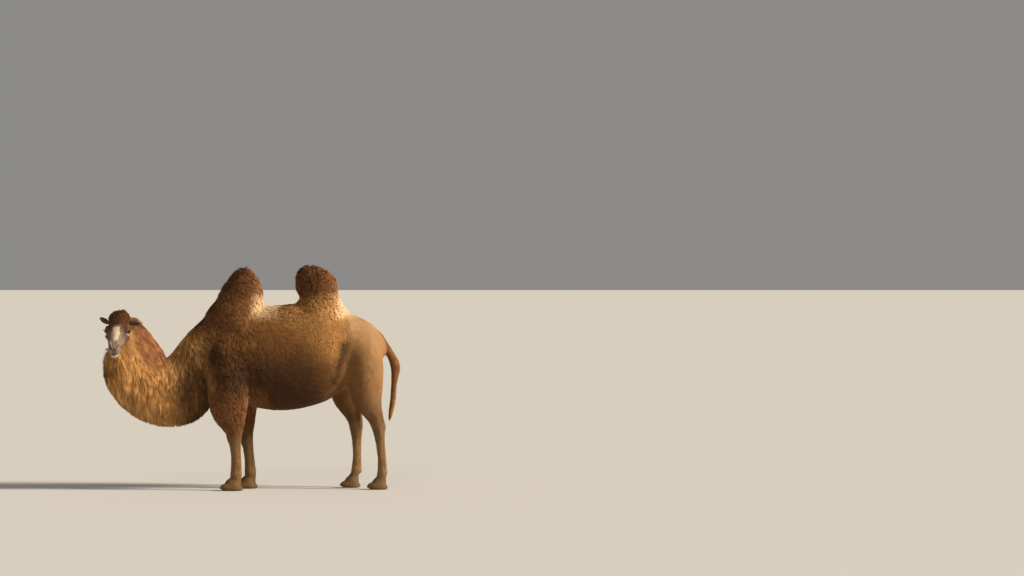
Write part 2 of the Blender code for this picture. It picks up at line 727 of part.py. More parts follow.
def main():
    clear_scene()
    body = body_form()
    head = head_form()
    flesh = grown(body, "flesh", FLESH_GROWTH)
    skull = grown(head, "skull", HEAD_GROWTH)
    chin = block_on("chin", THROAT, THROAT_NORMAL, 0.95, 0.9, -GAP)
    combine(head, chin, "INTERSECT")
    remove(chin)
    keep_largest(head)

    ears = [
        ear("ear_left", 1, (-0.22, 0.95, -0.10)),
        ear("ear_right", -1, (-0.58, -0.68, -0.02)),
    ]
    for leaf in ears:
        without(leaf, skull)
        keep_largest(leaf)
    swollen_ears = [grown(leaf, "leaf", FLESH_GROWTH) for leaf in ears]

    beard = throat_beard()
    without(beard, flesh, skull)
    keep_largest(beard)
    swollen_beard = grown(beard, "strands", FLESH_GROWTH)

    nape = mane()
    without(nape, flesh, skull, swollen_beard, *swollen_ears)
    keep_largest(nape)
    swollen_mane = grown(nape, "crest", FLESH_GROWTH)

    mop = forelock()
    without(mop, skull, flesh, swollen_mane, *swollen_ears)
    keep_largest(mop)

    for name, rows, triangles in (
        ("hump_front_crown", front_crown_rows(), 130),
        ("hump_rear_crown", rear_crown_rows(), 140),
    ):
        cap = hump_crown(name, rows, triangles)
        without(cap, flesh)
        keep_largest(cap)

    tail = mass("tail", tail_rows(), 200, "mane_hair", voxel=HEAD_VOXEL)
    without(tail, flesh)
    keep_largest(tail)
    tuft_low, tuft_high = (1.0, -0.4, 0.3), (1.8, 0.4, TAIL_TUFT_TOP)
    split_box(tail, "tail_tuft", tuft_low, tuft_high, 0, "mane_hair")
    tail.name = "tail_dock"

    for side, name in ((1, "eye_left"), (-1, "eye_right")):
        socket = eyeball("socket", side, EYE_RADIUS + GAP)
        without(head, socket)
        remove(socket)
        eyeball(name, side, EYE_RADIUS)

    feet = (
        ("fore_left", -1, FORE_FEET_X[0], FORE_PAD_SCALE),
        ("fore_right", 1, FORE_FEET_X[1], FORE_PAD_SCALE),
        ("hind_left", -1, HIND_FEET_X[0], HIND_PAD_SCALE),
        ("hind_right", 1, HIND_FEET_X[1], HIND_PAD_SCALE),
    )
    for leg, side, x, scale in feet:
        place = Vector((x, side * STANCE_HALF_WIDTH, 0.0))
        foot = foot_form(f"{leg}_foot", scale, place)
        toenails(leg, foot, scale, place)

    for helper in (flesh, skull, swollen_beard, swollen_mane, *swollen_ears):
        remove(helper)
    part_body(body)

    stand = bpy.data.objects.new("bactrian_camel", None)
    bpy.context.scene.collection.objects.link(stand)
    stand.location = CENTRING
    for obj in bpy.context.scene.objects:
        if obj.type != "MESH":
            continue
        obj.parent = stand
        obj.data.shade_smooth()


main()
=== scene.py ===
"""Bactrian camel: skin, winter coat, eyes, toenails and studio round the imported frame."""

import itertools
import math
from collections import namedtuple
from functools import cache

import bmesh
import bpy
import numpy as np
from bpy.props import EnumProperty, FloatProperty, FloatVectorProperty, PointerProperty
from mathutils import Matrix, Vector
from mathutils.bvhtree import BVHTree
from mathutils.kdtree import KDTree


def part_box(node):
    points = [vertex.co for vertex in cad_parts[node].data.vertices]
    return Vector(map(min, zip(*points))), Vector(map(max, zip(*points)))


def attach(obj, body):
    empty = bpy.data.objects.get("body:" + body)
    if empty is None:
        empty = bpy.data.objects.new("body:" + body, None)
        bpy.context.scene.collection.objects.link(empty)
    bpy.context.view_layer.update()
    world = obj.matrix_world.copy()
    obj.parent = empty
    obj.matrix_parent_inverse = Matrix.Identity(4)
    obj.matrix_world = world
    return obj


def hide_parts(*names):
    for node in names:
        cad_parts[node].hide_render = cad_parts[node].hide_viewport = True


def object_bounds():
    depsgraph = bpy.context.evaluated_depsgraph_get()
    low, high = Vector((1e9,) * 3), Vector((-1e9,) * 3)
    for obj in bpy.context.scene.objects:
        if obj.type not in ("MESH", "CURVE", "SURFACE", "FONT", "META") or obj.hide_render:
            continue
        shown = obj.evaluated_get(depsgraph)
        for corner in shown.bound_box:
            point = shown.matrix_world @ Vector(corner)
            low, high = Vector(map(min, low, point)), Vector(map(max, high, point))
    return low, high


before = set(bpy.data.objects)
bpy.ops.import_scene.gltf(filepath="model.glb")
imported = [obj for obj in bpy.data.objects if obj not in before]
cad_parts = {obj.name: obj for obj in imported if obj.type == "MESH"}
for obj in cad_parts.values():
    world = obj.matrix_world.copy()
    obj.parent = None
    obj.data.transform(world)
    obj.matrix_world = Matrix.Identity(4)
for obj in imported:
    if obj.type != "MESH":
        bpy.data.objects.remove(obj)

bl_info = {
    "name": "Bactrian camel",
    "version": (1, 0, 0),
    "blender": (4, 5, 0),
    "location": "View3D > Sidebar > Camel",
    "description": "Dresses the packed camel with skin, coat, eyes, toenails and a studio",
    "category": "Object",
}

CAD_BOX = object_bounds()
UP = Vector((0.0, 0.0, 1.0))
SEED = 11


def linear(code):
    """Linear RGB of an sRGB hex value."""
    channels = [int(code[i:i + 2], 16) / 255 for i in (1, 3, 5)]
    return tuple(c / 12.92 if c <= 0.04045 else ((c + 0.055) / 1.055) ** 2.4 for c in channels)


# ---- places from the frame
def middle(node):
    low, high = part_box(node)
    return (low + high) / 2


MIDLINE = (middle("fore_left_foot").y + middle("fore_right_foot").y) / 2
FRONT_TOP = middle("hump_front_crown")
REAR_TOP = middle("hump_rear_crown")
HEAD_PITCH = math.radians(28.0)
EYE_RADIUS = (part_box("eye_left")[1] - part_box("eye_left")[0]).x / 2


def head_matrix():
    """The head's own frame: X to the muzzle, Y to its left, Z to its crown, between the eyes."""
    left_eye, right_eye = middle("eye_left"), middle("eye_right")
    left = (left_eye - right_eye).normalized()
    heading = left.cross(UP).normalized()
    ahead = heading * math.cos(HEAD_PITCH) - UP * math.sin(HEAD_PITCH)
    crown = ahead.cross(left)
    place = Matrix((ahead, left, crown)).transposed().to_4x4()
    place.translation = (left_eye + right_eye) / 2
    return place


HEAD = head_matrix()
EYE_SPREAD = (middle("eye_left") - middle("eye_right")).length / 2


def to_head(points):
    """Points in the head's own frame."""
    turn = np.array(HEAD.to_3x3())
    return (points - np.array(HEAD.translation)) @ turn


def from_head(points):
    turn = np.array(HEAD.to_3x3())
    return np.asarray(points) @ turn.T + np.array(HEAD.translation)


# ---- the coat
# depth: the skin's under the coat's tips. length, width: one tuft's. spacing: between roots. bow:
# how far a tuft swings aside, as a share of its length. pull: how far tips gather in locks, as a
# share of the way. dusk: brightness at the root, from 0 to 1, as painted shade deep in the coat.
# The first four are in metres.
Coat = namedtuple("Coat", "depth length width spacing bow pull dusk")
COATS = {
    "wool": Coat(0.024, 0.052, 0.0062, 0.0082, 0.38, 0.60, 0.56),
    "flank": Coat(0.015, 0.048, 0.0044, 0.0080, 0.16, 0.38, 0.80),
    "neck": Coat(0.024, 0.115, 0.0050, 0.0100, 0.18, 0.64, 0.62),
    "sleek": Coat(0.007, 0.026, 0.0034, 0.0082, 0.14, 0.22, 0.84),
    "shank": Coat(0.005, 0.020, 0.0030, 0.0074, 0.14, 0.25, 0.80),
    "foot": Coat(0.003, 0.012, 0.0026, 0.0072, 0.12, 0.20, 0.86),
    "breeches": Coat(0.026, 0.058, 0.0070, 0.0084, 0.42, 0.62, 0.58),
    "curls": Coat(0.034, 0.062, 0.0066, 0.0080, 0.50, 0.55, 0.60),
    "mane": Coat(0.026, 0.090, 0.0050, 0.0076, 0.16, 0.55, 0.62),
    "beard": Coat(0.030, 0.150, 0.0052, 0.0094, 0.14, 0.64, 0.60),
    "forelock": Coat(0.020, 0.050, 0.0046, 0.0054, 0.40, 0.55, 0.60),
    "cheek": Coat(0.010, 0.040, 0.0036, 0.0044, 0.22, 0.50, 0.70),
    "face": Coat(0.0025, 0.0085, 0.0014, 0.0038, 0.10, 0.15, 0.93),
    "ear": Coat(0.0018, 0.019, 0.0016, 0.0031, 0.16, 0.25, 0.80),
    "chin": Coat(0.0040, 0.085, 0.0038, 0.0038, 0.14, 0.55, 0.66),
    "tail": Coat(0.010, 0.075, 0.0046, 0.0072, 0.10, 0.40, 0.70),
}
KINDS = list(COATS)

NODE_KINDS = {
    "head": "face",
    "ear_left": "ear",
    "ear_right": "ear",
    "forelock": "forelock",
    "mane": "mane",
    "throat_beard": "beard",
    "hump_front_crown": "curls",
    "hump_rear_crown": "curls",
    "tail_dock": "tail",
    "tail_tuft": "tail",
    "neck_upper": "neck",
    "neck_bend": "neck",
    "neck_base": "neck",
    "rump": "sleek",
    "chin": "chin",
}
for _leg, _side in itertools.product(("fore", "hind"), ("left", "right")):
    NODE_KINDS[f"{_leg}_{_side}_upper"] = "breeches" if _leg == "fore" else "sleek"
    NODE_KINDS[f"{_leg}_{_side}_lower"] = "shank"
    NODE_KINDS[f"{_leg}_{_side}_foot"] = "foot"

FLESH_NODES = [
    name for name in sorted(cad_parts) if not name.startswith("eye_") and "_nail_" not in name
]
HAIR_NODES = (
    "forelock", "mane", "throat_beard", "hump_front_crown", "hump_rear_crown", "tail_tuft"
)

# Places that no node of the frame marks by itself: the bare rump, and the chin's tuft.
HOMES = FLESH_NODES + ["rump", "chin"]

# The whole form's voxels, and how far each solid grows so that they join, in metres. Triangles
# aimed at on the body, behind the face.
SKIN_VOXEL = 0.0048
OVERLAP = 0.0010
BODY_TRIANGLES = 72000


# ---- numpy on meshes
def soft_noise(points, grain, seed=0):
    """Smooth value noise with lumps about grain across, from -1 to 1."""
    spot = points / grain + 0.37 * seed
    cell = np.floor(spot).astype(np.int64)
    part = spot - cell
    part = part * part * (3 - 2 * part)
    total = np.zeros(len(points))
    for corner in itertools.product((0, 1), repeat=3):
        x, y, z = (cell + corner).T
        mixed = (x * 73856093 ^ y * 19349663 ^ z * 83492791 ^ seed * 668265263) & 0xFFFFFFFF
        mixed = (mixed * 2246822519 & 0xFFFFFFFF) ^ (mixed >> 13)
        mixed = (mixed * 3266489917 & 0xFFFFFFFF) ^ (mixed >> 16)
        weight = np.prod(np.where(corner, part, 1 - part), axis=1)
        total += weight * ((mixed & 0xFFFF) / 32767.5 - 1)
    return total


def smooth_step(low, high, values):
    t = np.clip((values - low) / (high - low), 0, 1)
    return t * t * (3 - 2 * t)


def unit(vectors):
    length = np.linalg.norm(vectors, axis=1, keepdims=True)
    return vectors / np.maximum(length, 1e-9)


def along(vectors, normals):
    """The part of each vector that lies in the surface, as a unit vector."""
    return unit(vectors - normals * np.sum(vectors * normals, axis=1, keepdims=True))


def mesh_arrays(mesh):
    """Points and triangles of a mesh."""
    mesh.calc_loop_triangles()
    points = np.empty(len(mesh.vertices) * 3, np.float32)
    mesh.vertices.foreach_get("co", points)
    triangles = np.empty(len(mesh.loop_triangles) * 3, np.int32)
    mesh.loop_triangles.foreach_get("vertices", triangles)
    return points.reshape(-1, 3).astype(float), triangles.reshape(-1, 3)


def edges_of(triangles):
    pairs = np.concatenate([triangles[:, [0, 1]], triangles[:, [1, 2]], triangles[:, [2, 0]]])
    return np.unique(np.sort(pairs, axis=1), axis=0)


def relaxed(values, edges, times, share=0.5):
    """Values evened out between neighbouring points. share may differ from point to point."""
    values = values.astype(float).copy()
    count = np.bincount(edges.ravel(), minlength=len(values)).astype(float)
    share = np.broadcast_to(np.asarray(share, float), (len(values),))[:, None]
    for _ in range(times):
        total = np.empty_like(values)
        for column in range(values.shape[1]):
            total[:, column] = np.bincount(
                edges[:, 0], values[edges[:, 1], column], len(values)
            ) + np.bincount(edges[:, 1], values[edges[:, 0], column], len(values))
        values += share * (total / np.maximum(count, 1)[:, None] - values)
    return values


def normals_of(points, triangles):
    a, b, c = (points[triangles[:, k]] for k in range(3))
    face = np.cross(b - a, c - a)
    total = np.zeros_like(points)
    for k in range(3):
        for axis in range(3):
            total[:, axis] += np.bincount(triangles[:, k], face[:, axis], len(points))
    return unit(total)


def mesh_from(name, points, triangles):
    """A smooth-shaded mesh from points and triangles."""
    mesh = bpy.data.meshes.new(name)
    mesh.vertices.add(len(points))
    mesh.vertices.foreach_set("co", np.asarray(points, np.float32).ravel())
    mesh.loops.add(triangles.size)
    mesh.loops.foreach_set("vertex_index", np.asarray(triangles, np.int32).ravel())
    mesh.polygons.add(len(triangles))
    mesh.polygons.foreach_set("loop_start", np.arange(0, triangles.size, 3, dtype=np.int32))
    mesh.update(calc_edges=True)
    mesh.validate()
    mesh.shade_smooth()
    return mesh


def mesh_of(bm, name):
    """A bmesh's shape as a mesh. The bmesh is freed."""
    mesh = bpy.data.meshes.new(name)
    bm.to_mesh(mesh)
    bm.free()
    return mesh


def linked(name, data):
    """An object in the scene from its mesh, light or camera."""
    obj = bpy.data.objects.new(name, data)
    bpy.context.scene.collection.objects.link(obj)
    return obj


def evaluated(obj):
    """Keeps the shape that the object's modifiers make, and drops the modifiers."""
    graph = bpy.context.evaluated_depsgraph_get()
    mesh = bpy.data.meshes.new_from_object(obj.evaluated_get(graph))
    obj.modifiers.clear()
    obj.data = mesh
    return obj


# For each number of columns, the kind of a point's attribute and the name of its value.
ATTRIBUTES = {1: ("FLOAT", "value"), 3: ("FLOAT_VECTOR", "vector"), 4: ("FLOAT_COLOR", "color")}


def set_attribute(mesh, name, values):
    """Stores one value, vector or colour for each point."""
    values = np.ascontiguousarray(values)
    kind, field = ATTRIBUTES[values.size // len(mesh.vertices)]
    mesh.attributes.new(name, kind, "POINT").data.foreach_set(field, values.ravel())


def get_attribute(mesh, name, columns=1):
    values = np.empty(len(mesh.vertices) * columns, np.float32)
    mesh.attributes[name].data.foreach_get(ATTRIBUTES[columns][1], values)
    return (values.reshape(-1, columns) if columns > 1 else values).astype(float)


# ---- the head's form
def smooth_rows(rows, steps):
    """A smooth run through rows of numbers, with steps divisions between each pair."""
    rows = np.array(rows, float)
    padded = np.vstack([rows[0], rows, rows[-1]])
    run = []
    for i in range(len(rows) - 1):
        before, start, end, after = padded[i:i + 4]
        for t in np.arange(steps) / steps:
            run.append(
                0.5 * (2 * start + (end - before) * t
                       + (2 * before - 5 * start + 4 * end - after) * t ** 2
                       + (3 * start - before - 3 * end + after) * t ** 3)
            )
    return np.array(run + [rows[-1]])


def squared(value, power):
    """A coordinate from -1 to 1 moved outward, so that a round form grows squarer."""
    return math.copysign(abs(value) ** power, value)


HEAD_SQUARENESS = 0.91


def add_muzzle_loft(bm, rows, sides=40):
    """Oval rings across X, from rows of (x, middle z, up, down, side), closed at both ends."""
    rings = []
    for x, z, up, down, side in smooth_rows(rows, 5):
        ring = []
        for k in range(sides):
            angle = 2 * math.pi * k / sides
            across = squared(math.cos(angle), HEAD_SQUARENESS)
            height = squared(math.sin(angle), HEAD_SQUARENESS)
            reach = up if height > 0 else down
            place = Vector((x, across * side * (1 - 0.14 * height), z + height * reach))
            ring.append(bm.verts.new(HEAD @ place))
        rings.append(ring)
    for one, other in zip(rings, rings[1:]):
        for k in range(sides):
            n = (k + 1) % sides
            bm.faces.new((one[k], one[n], other[n], other[k]))
    bm.faces.new(rings[0][::-1])
    bm.faces.new(rings[-1])


def add_ball(bm, centre, radii, segments=28):
    """An ellipsoid in the head's frame."""
    place = HEAD @ Matrix.Translation(Vector(centre)) @ Matrix.Diagonal((*radii, 1.0))
    bmesh.ops.create_uvsphere(
        bm, u_segments=segments, v_segments=segments // 2, radius=1.0, matrix=place
    )


# Rows are (x, middle z, up, down, side) in the head's frame, from the poll to the lips.
HEAD_ROWS = [
    (-0.215, -0.030, 0.045, 0.060, 0.050),
    (-0.190, -0.032, 0.082, 0.095, 0.082),
    (-0.140, -0.040, 0.113, 0.122, 0.102),
    (-0.080, -0.045, 0.126, 0.132, 0.111),
    (-0.020, -0.040, 0.119, 0.122, 0.112),
    (0.030, -0.040, 0.109, 0.108, 0.098),
    (0.080, -0.040, 0.095, 0.095, 0.077),
    (0.140, -0.040, 0.082, 0.087, 0.058),
    (0.200, -0.040, 0.076, 0.083, 0.051),
    (0.250, -0.042, 0.067, 0.077, 0.049),
    (0.285, -0.046, 0.051, 0.065, 0.043),
    (0.306, -0.052, 0.026, 0.040, 0.028),
]
# Thickness of the lids over the eyeballs.
LID = 0.0030

# Swellings on both sides of the head, in its own frame: (x, outward, z), radii.
HEAD_BALLS = [
    # brow, cheekbone, hinge of the jaw and cheek
    ((-0.006, 0.084, 0.020), (0.062, 0.033, 0.017)),
    ((0.010, 0.083, -0.044), (0.052, 0.026, 0.022)),
    ((-0.085, 0.066, -0.088), (0.092, 0.045, 0.075)),
    ((0.085, 0.056, -0.055), (0.095, 0.021, 0.022)),
    # wing of the nostril and half of the upper lip
    ((0.243, 0.032, 0.000), (0.043, 0.022, 0.026)),
    ((0.272, 0.025, -0.046), (0.042, 0.030, 0.039)),
    # lids
    ((0.0, EYE_SPREAD, 0.0), (EYE_RADIUS + LID,) * 3),
]
LOWER_LIP = ((0.250, 0.0, -0.111), (0.053, 0.039, 0.027))


def add_head(bm):
    """Skull, brows, cheeks, jaw, nose and lips, with full lids over the eyeballs."""
    add_muzzle_loft(bm, HEAD_ROWS)
    for side in (-1, 1):
        for (x, outward, z), radii in HEAD_BALLS:
            add_ball(bm, (x, side * outward, z), radii)
    add_ball(bm, *LOWER_LIP)


NAIL_NODES = [name for name in sorted(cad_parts) if "_nail_" in name]
# How far a toe's middle lies behind its nail's, its half length and height, and how much wider it
# is than the nail on each side.
TOE_BACK, TOE_LENGTH, TOE_HEIGHT, TOE_MARGIN = 0.026, 0.0350, 0.032, 0.009


def add_toes(bm):
    """A rounded toe behind each nail, so that the nail is set in flesh."""
    for name in NAIL_NODES:
        low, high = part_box(name)
        centre, half = (low + high) / 2, (high - low) / 2
        place = Matrix.Translation((centre.x + TOE_BACK, centre.y, TOE_HEIGHT))
        place = place @ Matrix.Diagonal((TOE_LENGTH, half.y + TOE_MARGIN, TOE_HEIGHT, 1.0))
        bmesh.ops.create_uvsphere(bm, u_segments=24, v_segments=14, radius=1.0, matrix=place)


# ---- the skin's form
def whole_form():
    """Flesh and hair masses of the frame as one closed form, out to the tips of the coat."""
    bm = bmesh.new()
    for name in FLESH_NODES:
        bm.from_mesh(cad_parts[name].data)
    bmesh.ops.remove_doubles(bm, verts=bm.verts, dist=1e-5)
    bm.normal_update()
    for vert in bm.verts:
        vert.co += vert.normal * OVERLAP
    add_head(bm)
    add_toes(bm)
    form = linked("form", mesh_of(bm, "form"))
    join = form.modifiers.new("join", "REMESH")
    join.mode = "VOXEL"
    join.voxel_size = SKIN_VOXEL
    soften = form.modifiers.new("soften", "SMOOTH")
    soften.factor = 0.5
    soften.iterations = 3
    evaluated(form)
    # The face stays fine, and the rest of the body is thinned out.
    points, _ = mesh_arrays(form.data)
    away = np.flatnonzero(~face_zone(points))
    form.vertex_groups.new(name="body").add(away.tolist(), 1.0, "REPLACE")
    quads = len(form.data.polygons)
    head_quads = quads * (1 - len(away) / len(points))
    thin = form.modifiers.new("thin", "DECIMATE")
    thin.vertex_group = "body"
    thin.ratio = (BODY_TRIANGLES / 2 + head_quads) / quads
    thin.use_collapse_triangulate = True
    return evaluated(form)


def head_share(points):
    """1 on the head and ears, falling to 0 down the neck."""
    local = to_head(points)
    from_middle = np.linalg.norm((local - [0.03, 0, -0.02]) / [0.33, 0.27, 0.20], axis=1)
    return 1 - smooth_step(0.95, 1.05, from_middle)


def refined(points, triangles, near):
    """The same surface with each triangle that touches a near point cut into four."""
    mesh = mesh_from("finer", points, triangles)
    bm = bmesh.new()
    bm.from_mesh(mesh)
    bm.verts.ensure_lookup_table()
    chosen = [edge for edge in bm.edges if near[edge.verts[0].index] and near[edge.verts[1].index]]
    bmesh.ops.subdivide_edges(bm, edges=chosen, cuts=1, use_grid_fill=True)
    bmesh.ops.triangulate(bm, faces=[face for face in bm.faces if len(face.verts) > 3])
    bm.to_mesh(mesh)
    bm.free()
    result = mesh_arrays(mesh)
    bpy.data.meshes.remove(mesh)
    return result


def home_nodes(points):
    """Index into FLESH_NODES of the frame node nearest each point."""
    corners, faces, owner = [], [], []
    start = 0
    for index, name in enumerate(FLESH_NODES):
        node_points, node_triangles = mesh_arrays(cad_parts[name].data)
        corners.append(node_points)
        faces.append(node_triangles + start)
        owner += [index] * len(node_triangles)
        start += len(node_points)
    tree = BVHTree.FromPolygons(np.vstack(corners).tolist(), np.vstack(faces).tolist())
    owner = np.array(owner)
    home = owner[[tree.find_nearest(point)[2] for point in points.tolist()]]
    home[(home == HOMES.index("trunk")) & (wool_edge(points) > 0)] = HOMES.index("rump")
    local = to_head(points)
    chin = np.linalg.norm((local - [0.232, 0.0, -0.130]) / [0.046, 0.032, 0.030], axis=1) < 1
    home[chin] = HOMES.index("chin")
    return home


def wool_edge(points):
    """How far each point lies behind the line where the barrel's wool ends, in metres."""
    knee_z, low_z = 1.42, 0.88
    high_x, low_x = 0.895, 0.700
    slope = (high_x - low_x) / (knee_z - low_z)
    line = high_x - slope * np.clip(knee_z - points[:, 2], 0, knee_z - low_z)
    return points[:, 0] - line + 0.020 * soft_noise(points, 0.07, 3)


def kind_weights(points, edges, home):
    """Share of each kind of coat at each point, soft where two kinds meet."""
    weights = np.zeros((len(points), len(KINDS)))
    for index, name in enumerate(HOMES):
        weights[home == index, KINDS.index(NODE_KINDS.get(name, "wool"))] = 1
    weights = relaxed(weights, edges, 14)
    local = to_head(points)
    furry = smooth_step(0.03, -0.05, local[:, 0] + 0.01 * soft_noise(points, 0.03, 2))
    furry *= smooth_step(0.015, -0.030, local[:, 2])
    ragged = local[:, 0] + 0.016 * soft_noise(points, 0.026, 7) - 0.35 * (local[:, 2] - 0.02)
    furry = np.maximum(furry, smooth_step(-0.005, -0.070, ragged))
    below = smooth_step(-0.085, -0.115, local[:, 2]) * (1 - smooth_step(0.16, 0.22, local[:, 0]))
    x, z = points[:, 0] + 0.05 * soft_noise(points, 0.12, 4), points[:, 2]
    barrel = smooth_step(-0.02, 0.16, x + 0.30 * (z - 1.25)) * (1 - smooth_step(1.58, 1.74, z))
    for start, end, share in (
        ("wool", "flank", barrel),
        ("flank", "sleek", smooth_step(-0.016, 0.024, wool_edge(points))),
        ("face", "cheek", np.maximum(furry, below)),
    ):
        start, end = KINDS.index(start), KINDS.index(end)
        weights[:, end] += weights[:, start] * share
        weights[:, start] *= 1 - share
    return weights / weights.sum(axis=1, keepdims=True)


def blend(weights, field):
    """A figure of the coat at each point, blended from its kinds."""
    return weights @ np.array([getattr(COATS[kind], field) for kind in KINDS])


def share_of(weights, *kinds):
    """The share that some kinds of coat have together at each point."""
    return weights[:, [KINDS.index(kind) for kind in kinds]].sum(axis=1)


# ---- sculpting the skin
def distance_to_path(points, path):
    """Shortest distance from each point to a run of straight stretches."""
    best = np.full(len(points), np.inf)
    for start, end in zip(np.array(path[:-1], float), np.array(path[1:], float)):
        step = end - start
        t = np.clip((points - start) @ step / (step @ step), 0, 1)
        best = np.minimum(best, np.linalg.norm(points - start - t[:, None] * step, axis=1))
    return best


def stroke(points, path, width, height):
    """Height of a rounded ridge, or of a groove where it is negative, along a path."""
    return height * np.exp(-(distance_to_path(points, path) / width) ** 2)


def both_sides(path):
    """A path and its mirror image across the midline."""
    return [path, [(x, -y, z) for x, y, z in path]]


def in_metres(path, width, height):
    """A stroke that is given in millimetres."""
    return [tuple(c / 1000 for c in spot) for spot in path], width / 1000, height / 1000


# Lines of the head in its own frame, on its left side, in millimetres: (points, width, height).
# Each is laid on the surface before it is cut or raised.
HEAD_LINES = {
    # comma of the nostril, wider and deeper at its upper end, and the rims above and below it
    "nostril": ([(300, 12, -30), (288, 24, -16), (270, 36, -2)], 3.6, -10.5),
    "nostril_top": ([(276, 34, -4), (266, 38, 2)], 5.2, -6),
    "upper_rim": ([(296, 8, -18), (282, 20, -2), (260, 32, 10)], 6, 4.2),
    "lower_rim": ([(300, 22, -40), (286, 36, -26), (266, 46, -12)], 6.4, 3.4),
    # line of the mouth and the two lips beside it
    "mouth": ([(312, 0, -84), (296, 24, -87), (254, 46, -88),
               (200, 50, -84), (150, 56, -72)], 3.6, -9.5),
    "upper_lip": ([(310, 10, -73), (294, 32, -74), (254, 50, -74),
                   (200, 54, -70)], 6.8, 3.4),
    "lower_lip": ([(300, 4, -98), (286, 26, -100), (248, 42, -100)], 6.4, 3),
    # folds from the nostril's wing down to the corner of the mouth
    "wing_fold": ([(244, 46, -16), (226, 50, -42), (206, 52, -64)], 5.6, -3),
    "lip_fold": ([(212, 48, -14), (190, 53, -38), (172, 54, -60)], 6, -2),
    "chin_fold": ([(262, 30, -118), (236, 38, -112), (205, 44, -104)], 7, -2.8),
    # crest of the cheekbone, and the hollow between it and the bridge of the nose
    "cheekbone": ([(20, 100, -46), (75, 84, -48), (140, 62, -50)], 11, 3.6),
    "nose_hollow": ([(45, 82, -2), (100, 62, -8), (165, 52, -14)], 13, -4.6),
    # jaw's lower edge and the hollow in front of it
    "jaw": ([(-90, 100, -130), (-30, 98, -132), (40, 70, -122)], 16, 3),
    "jaw_hollow": ([(10, 98, -88), (70, 72, -90), (120, 60, -86)], 13, -3.4),
    # hollow of the temple behind the brow
    "temple": ([(-62, 104, 18), (-94, 100, 6)], 18, -5),
    # crease of the upper lid, and the bag and wrinkles under the eye
    "lid_crease": ([(26, 104, 14), (4, 112, 24), (-22, 112, 16)], 2.6, -2.4),
    "bag": ([(32, 102, -18), (8, 110, -26), (-18, 110, -24)], 4.6, 1.8),
    "bag_crease": ([(40, 98, -24), (12, 106, -35), (-20, 106, -33)], 2.6, -2),
    "low_crease": ([(50, 92, -34), (18, 102, -46), (-16, 104, -44)], 3, -1.4),
    "tear_line": ([(24, 104, -8), (40, 96, -20), (58, 86, -30)], 3, -2.2),
    # cleft of the upper lip, on the midline
    "cleft": ([(303, 0, -30), (314, 0, -58), (312, 0, -80)], 3, -7.5),
}
HEAD_LINES = {name: in_metres(*line) for name, line in HEAD_LINES.items()}


def laid_lines(points, triangles):
    """HEAD_LINES on both sides, finely divided and laid on the surface."""
    local = to_head(points)
    tree = BVHTree.FromPolygons(local.tolist(), triangles.tolist())
    laid = {}
    for name, (path, width, height) in HEAD_LINES.items():
        sides = both_sides(path) if name != "cleft" else [path]
        runs = [np.array([tree.find_nearest(spot)[0] for spot in smooth_rows(one, 4).tolist()])
                for one in sides]
        laid[name] = (runs, width, height)
    return laid


# Where an eye looks in the head's frame, and its opening: the half width, and the half heights
# above and below, as shares of its radius.
EYE_LOOK = (0.46, 0.88, 0.06)
OPENING = (0.84, 0.57, 0.46)


def eye_axes(side):
    """Outward, forward and upward directions of an eye in the head's frame."""
    outward = Vector((EYE_LOOK[0], side * EYE_LOOK[1], EYE_LOOK[2])).normalized()
    forward = Vector((1.0, 0.0, -0.20))
    forward = (forward - outward * forward.dot(outward)).normalized()
    upward = outward.cross(forward) * side
    if upward.z < 0:
        upward.negate()
    return np.array(outward), np.array(forward), np.array(upward)


def open_lids(local):
    """Sinks the skin inside each eye's opening and stands the lids' rims round it."""
    local = local.copy()
    wide, above, below = OPENING
    for side in (-1, 1):
        outward, forward, upward = eye_axes(side)
        centre = np.array([0.0, side * EYE_SPREAD, 0.0])
        reach = local - centre
        radius = np.linalg.norm(reach, axis=1)
        direction = reach / np.maximum(radius, 1e-9)[:, None]
        height = direction @ upward
        level = np.where(height > 0, height / above, height / below)
        opening = (direction @ forward / wide) ** 2 + level ** 2
        near = (radius < EYE_RADIUS * 2.0) & (direction @ outward > 0)
        inside = near & (opening < 0.92)
        rim = near & (opening >= 0.92) & (opening < 1.7)
        lid = near & (opening >= 1.7) & (opening < 4.0)
        local[inside] = centre + direction[inside] * EYE_RADIUS * 0.84
        local[rim] = centre + direction[rim] * (EYE_RADIUS + 0.0021)
        fade = ((opening[lid] - 1.7) / 2.3)[:, None]
        onto = centre + direction[lid] * (EYE_RADIUS + 0.0021)
        local[lid] = onto * (1 - fade) + local[lid] * fade
    return local


def sculpted_head(points, outer, triangles, lines):
    """Folds, lips, nostrils and lids on the head."""
    near = np.flatnonzero(head_share(outer) > 0)
    local = to_head(outer[near])
    height = np.zeros(len(near))
    for runs, width, rise in lines.values():
        for run in runs:
            height += stroke(local, run, width, rise)
    normals = normals_of(points, triangles)[near]
    points = points.copy()
    points[near] = from_head(open_lids(to_head(points[near] + normals * height[:, None])))
    return points


# Paths on the animal's left side, in millimetres, from its midline: (points, width, height).
BODY_STROKES = [
    # hollow of the flank in front of the thigh, behind the barrel's wool
    ([(865, 275, 1380), (805, 315, 1200), (740, 285, 1000)], 34, -30),
    # furrow between the thigh's two muscles, and the swell in front of it
    ([(1095, 200, 1360), (1125, 250, 1180), (1145, 250, 980)], 36, -16),
    ([(1010, 250, 1400), (1020, 280, 1180)], 40, 10),
    # point of the hip and the slope to the pin bone
    ([(930, 200, 1555), (955, 240, 1500)], 45, 12),
    # hamstring above the hock
    ([(1165, 205, 860), (1200, 195, 720), (1235, 190, 620)], 12, 5),
    ([(1140, 235, 800), (1180, 220, 680)], 14, -6),
]
BODY_STROKES = [in_metres(*line) for line in BODY_STROKES]

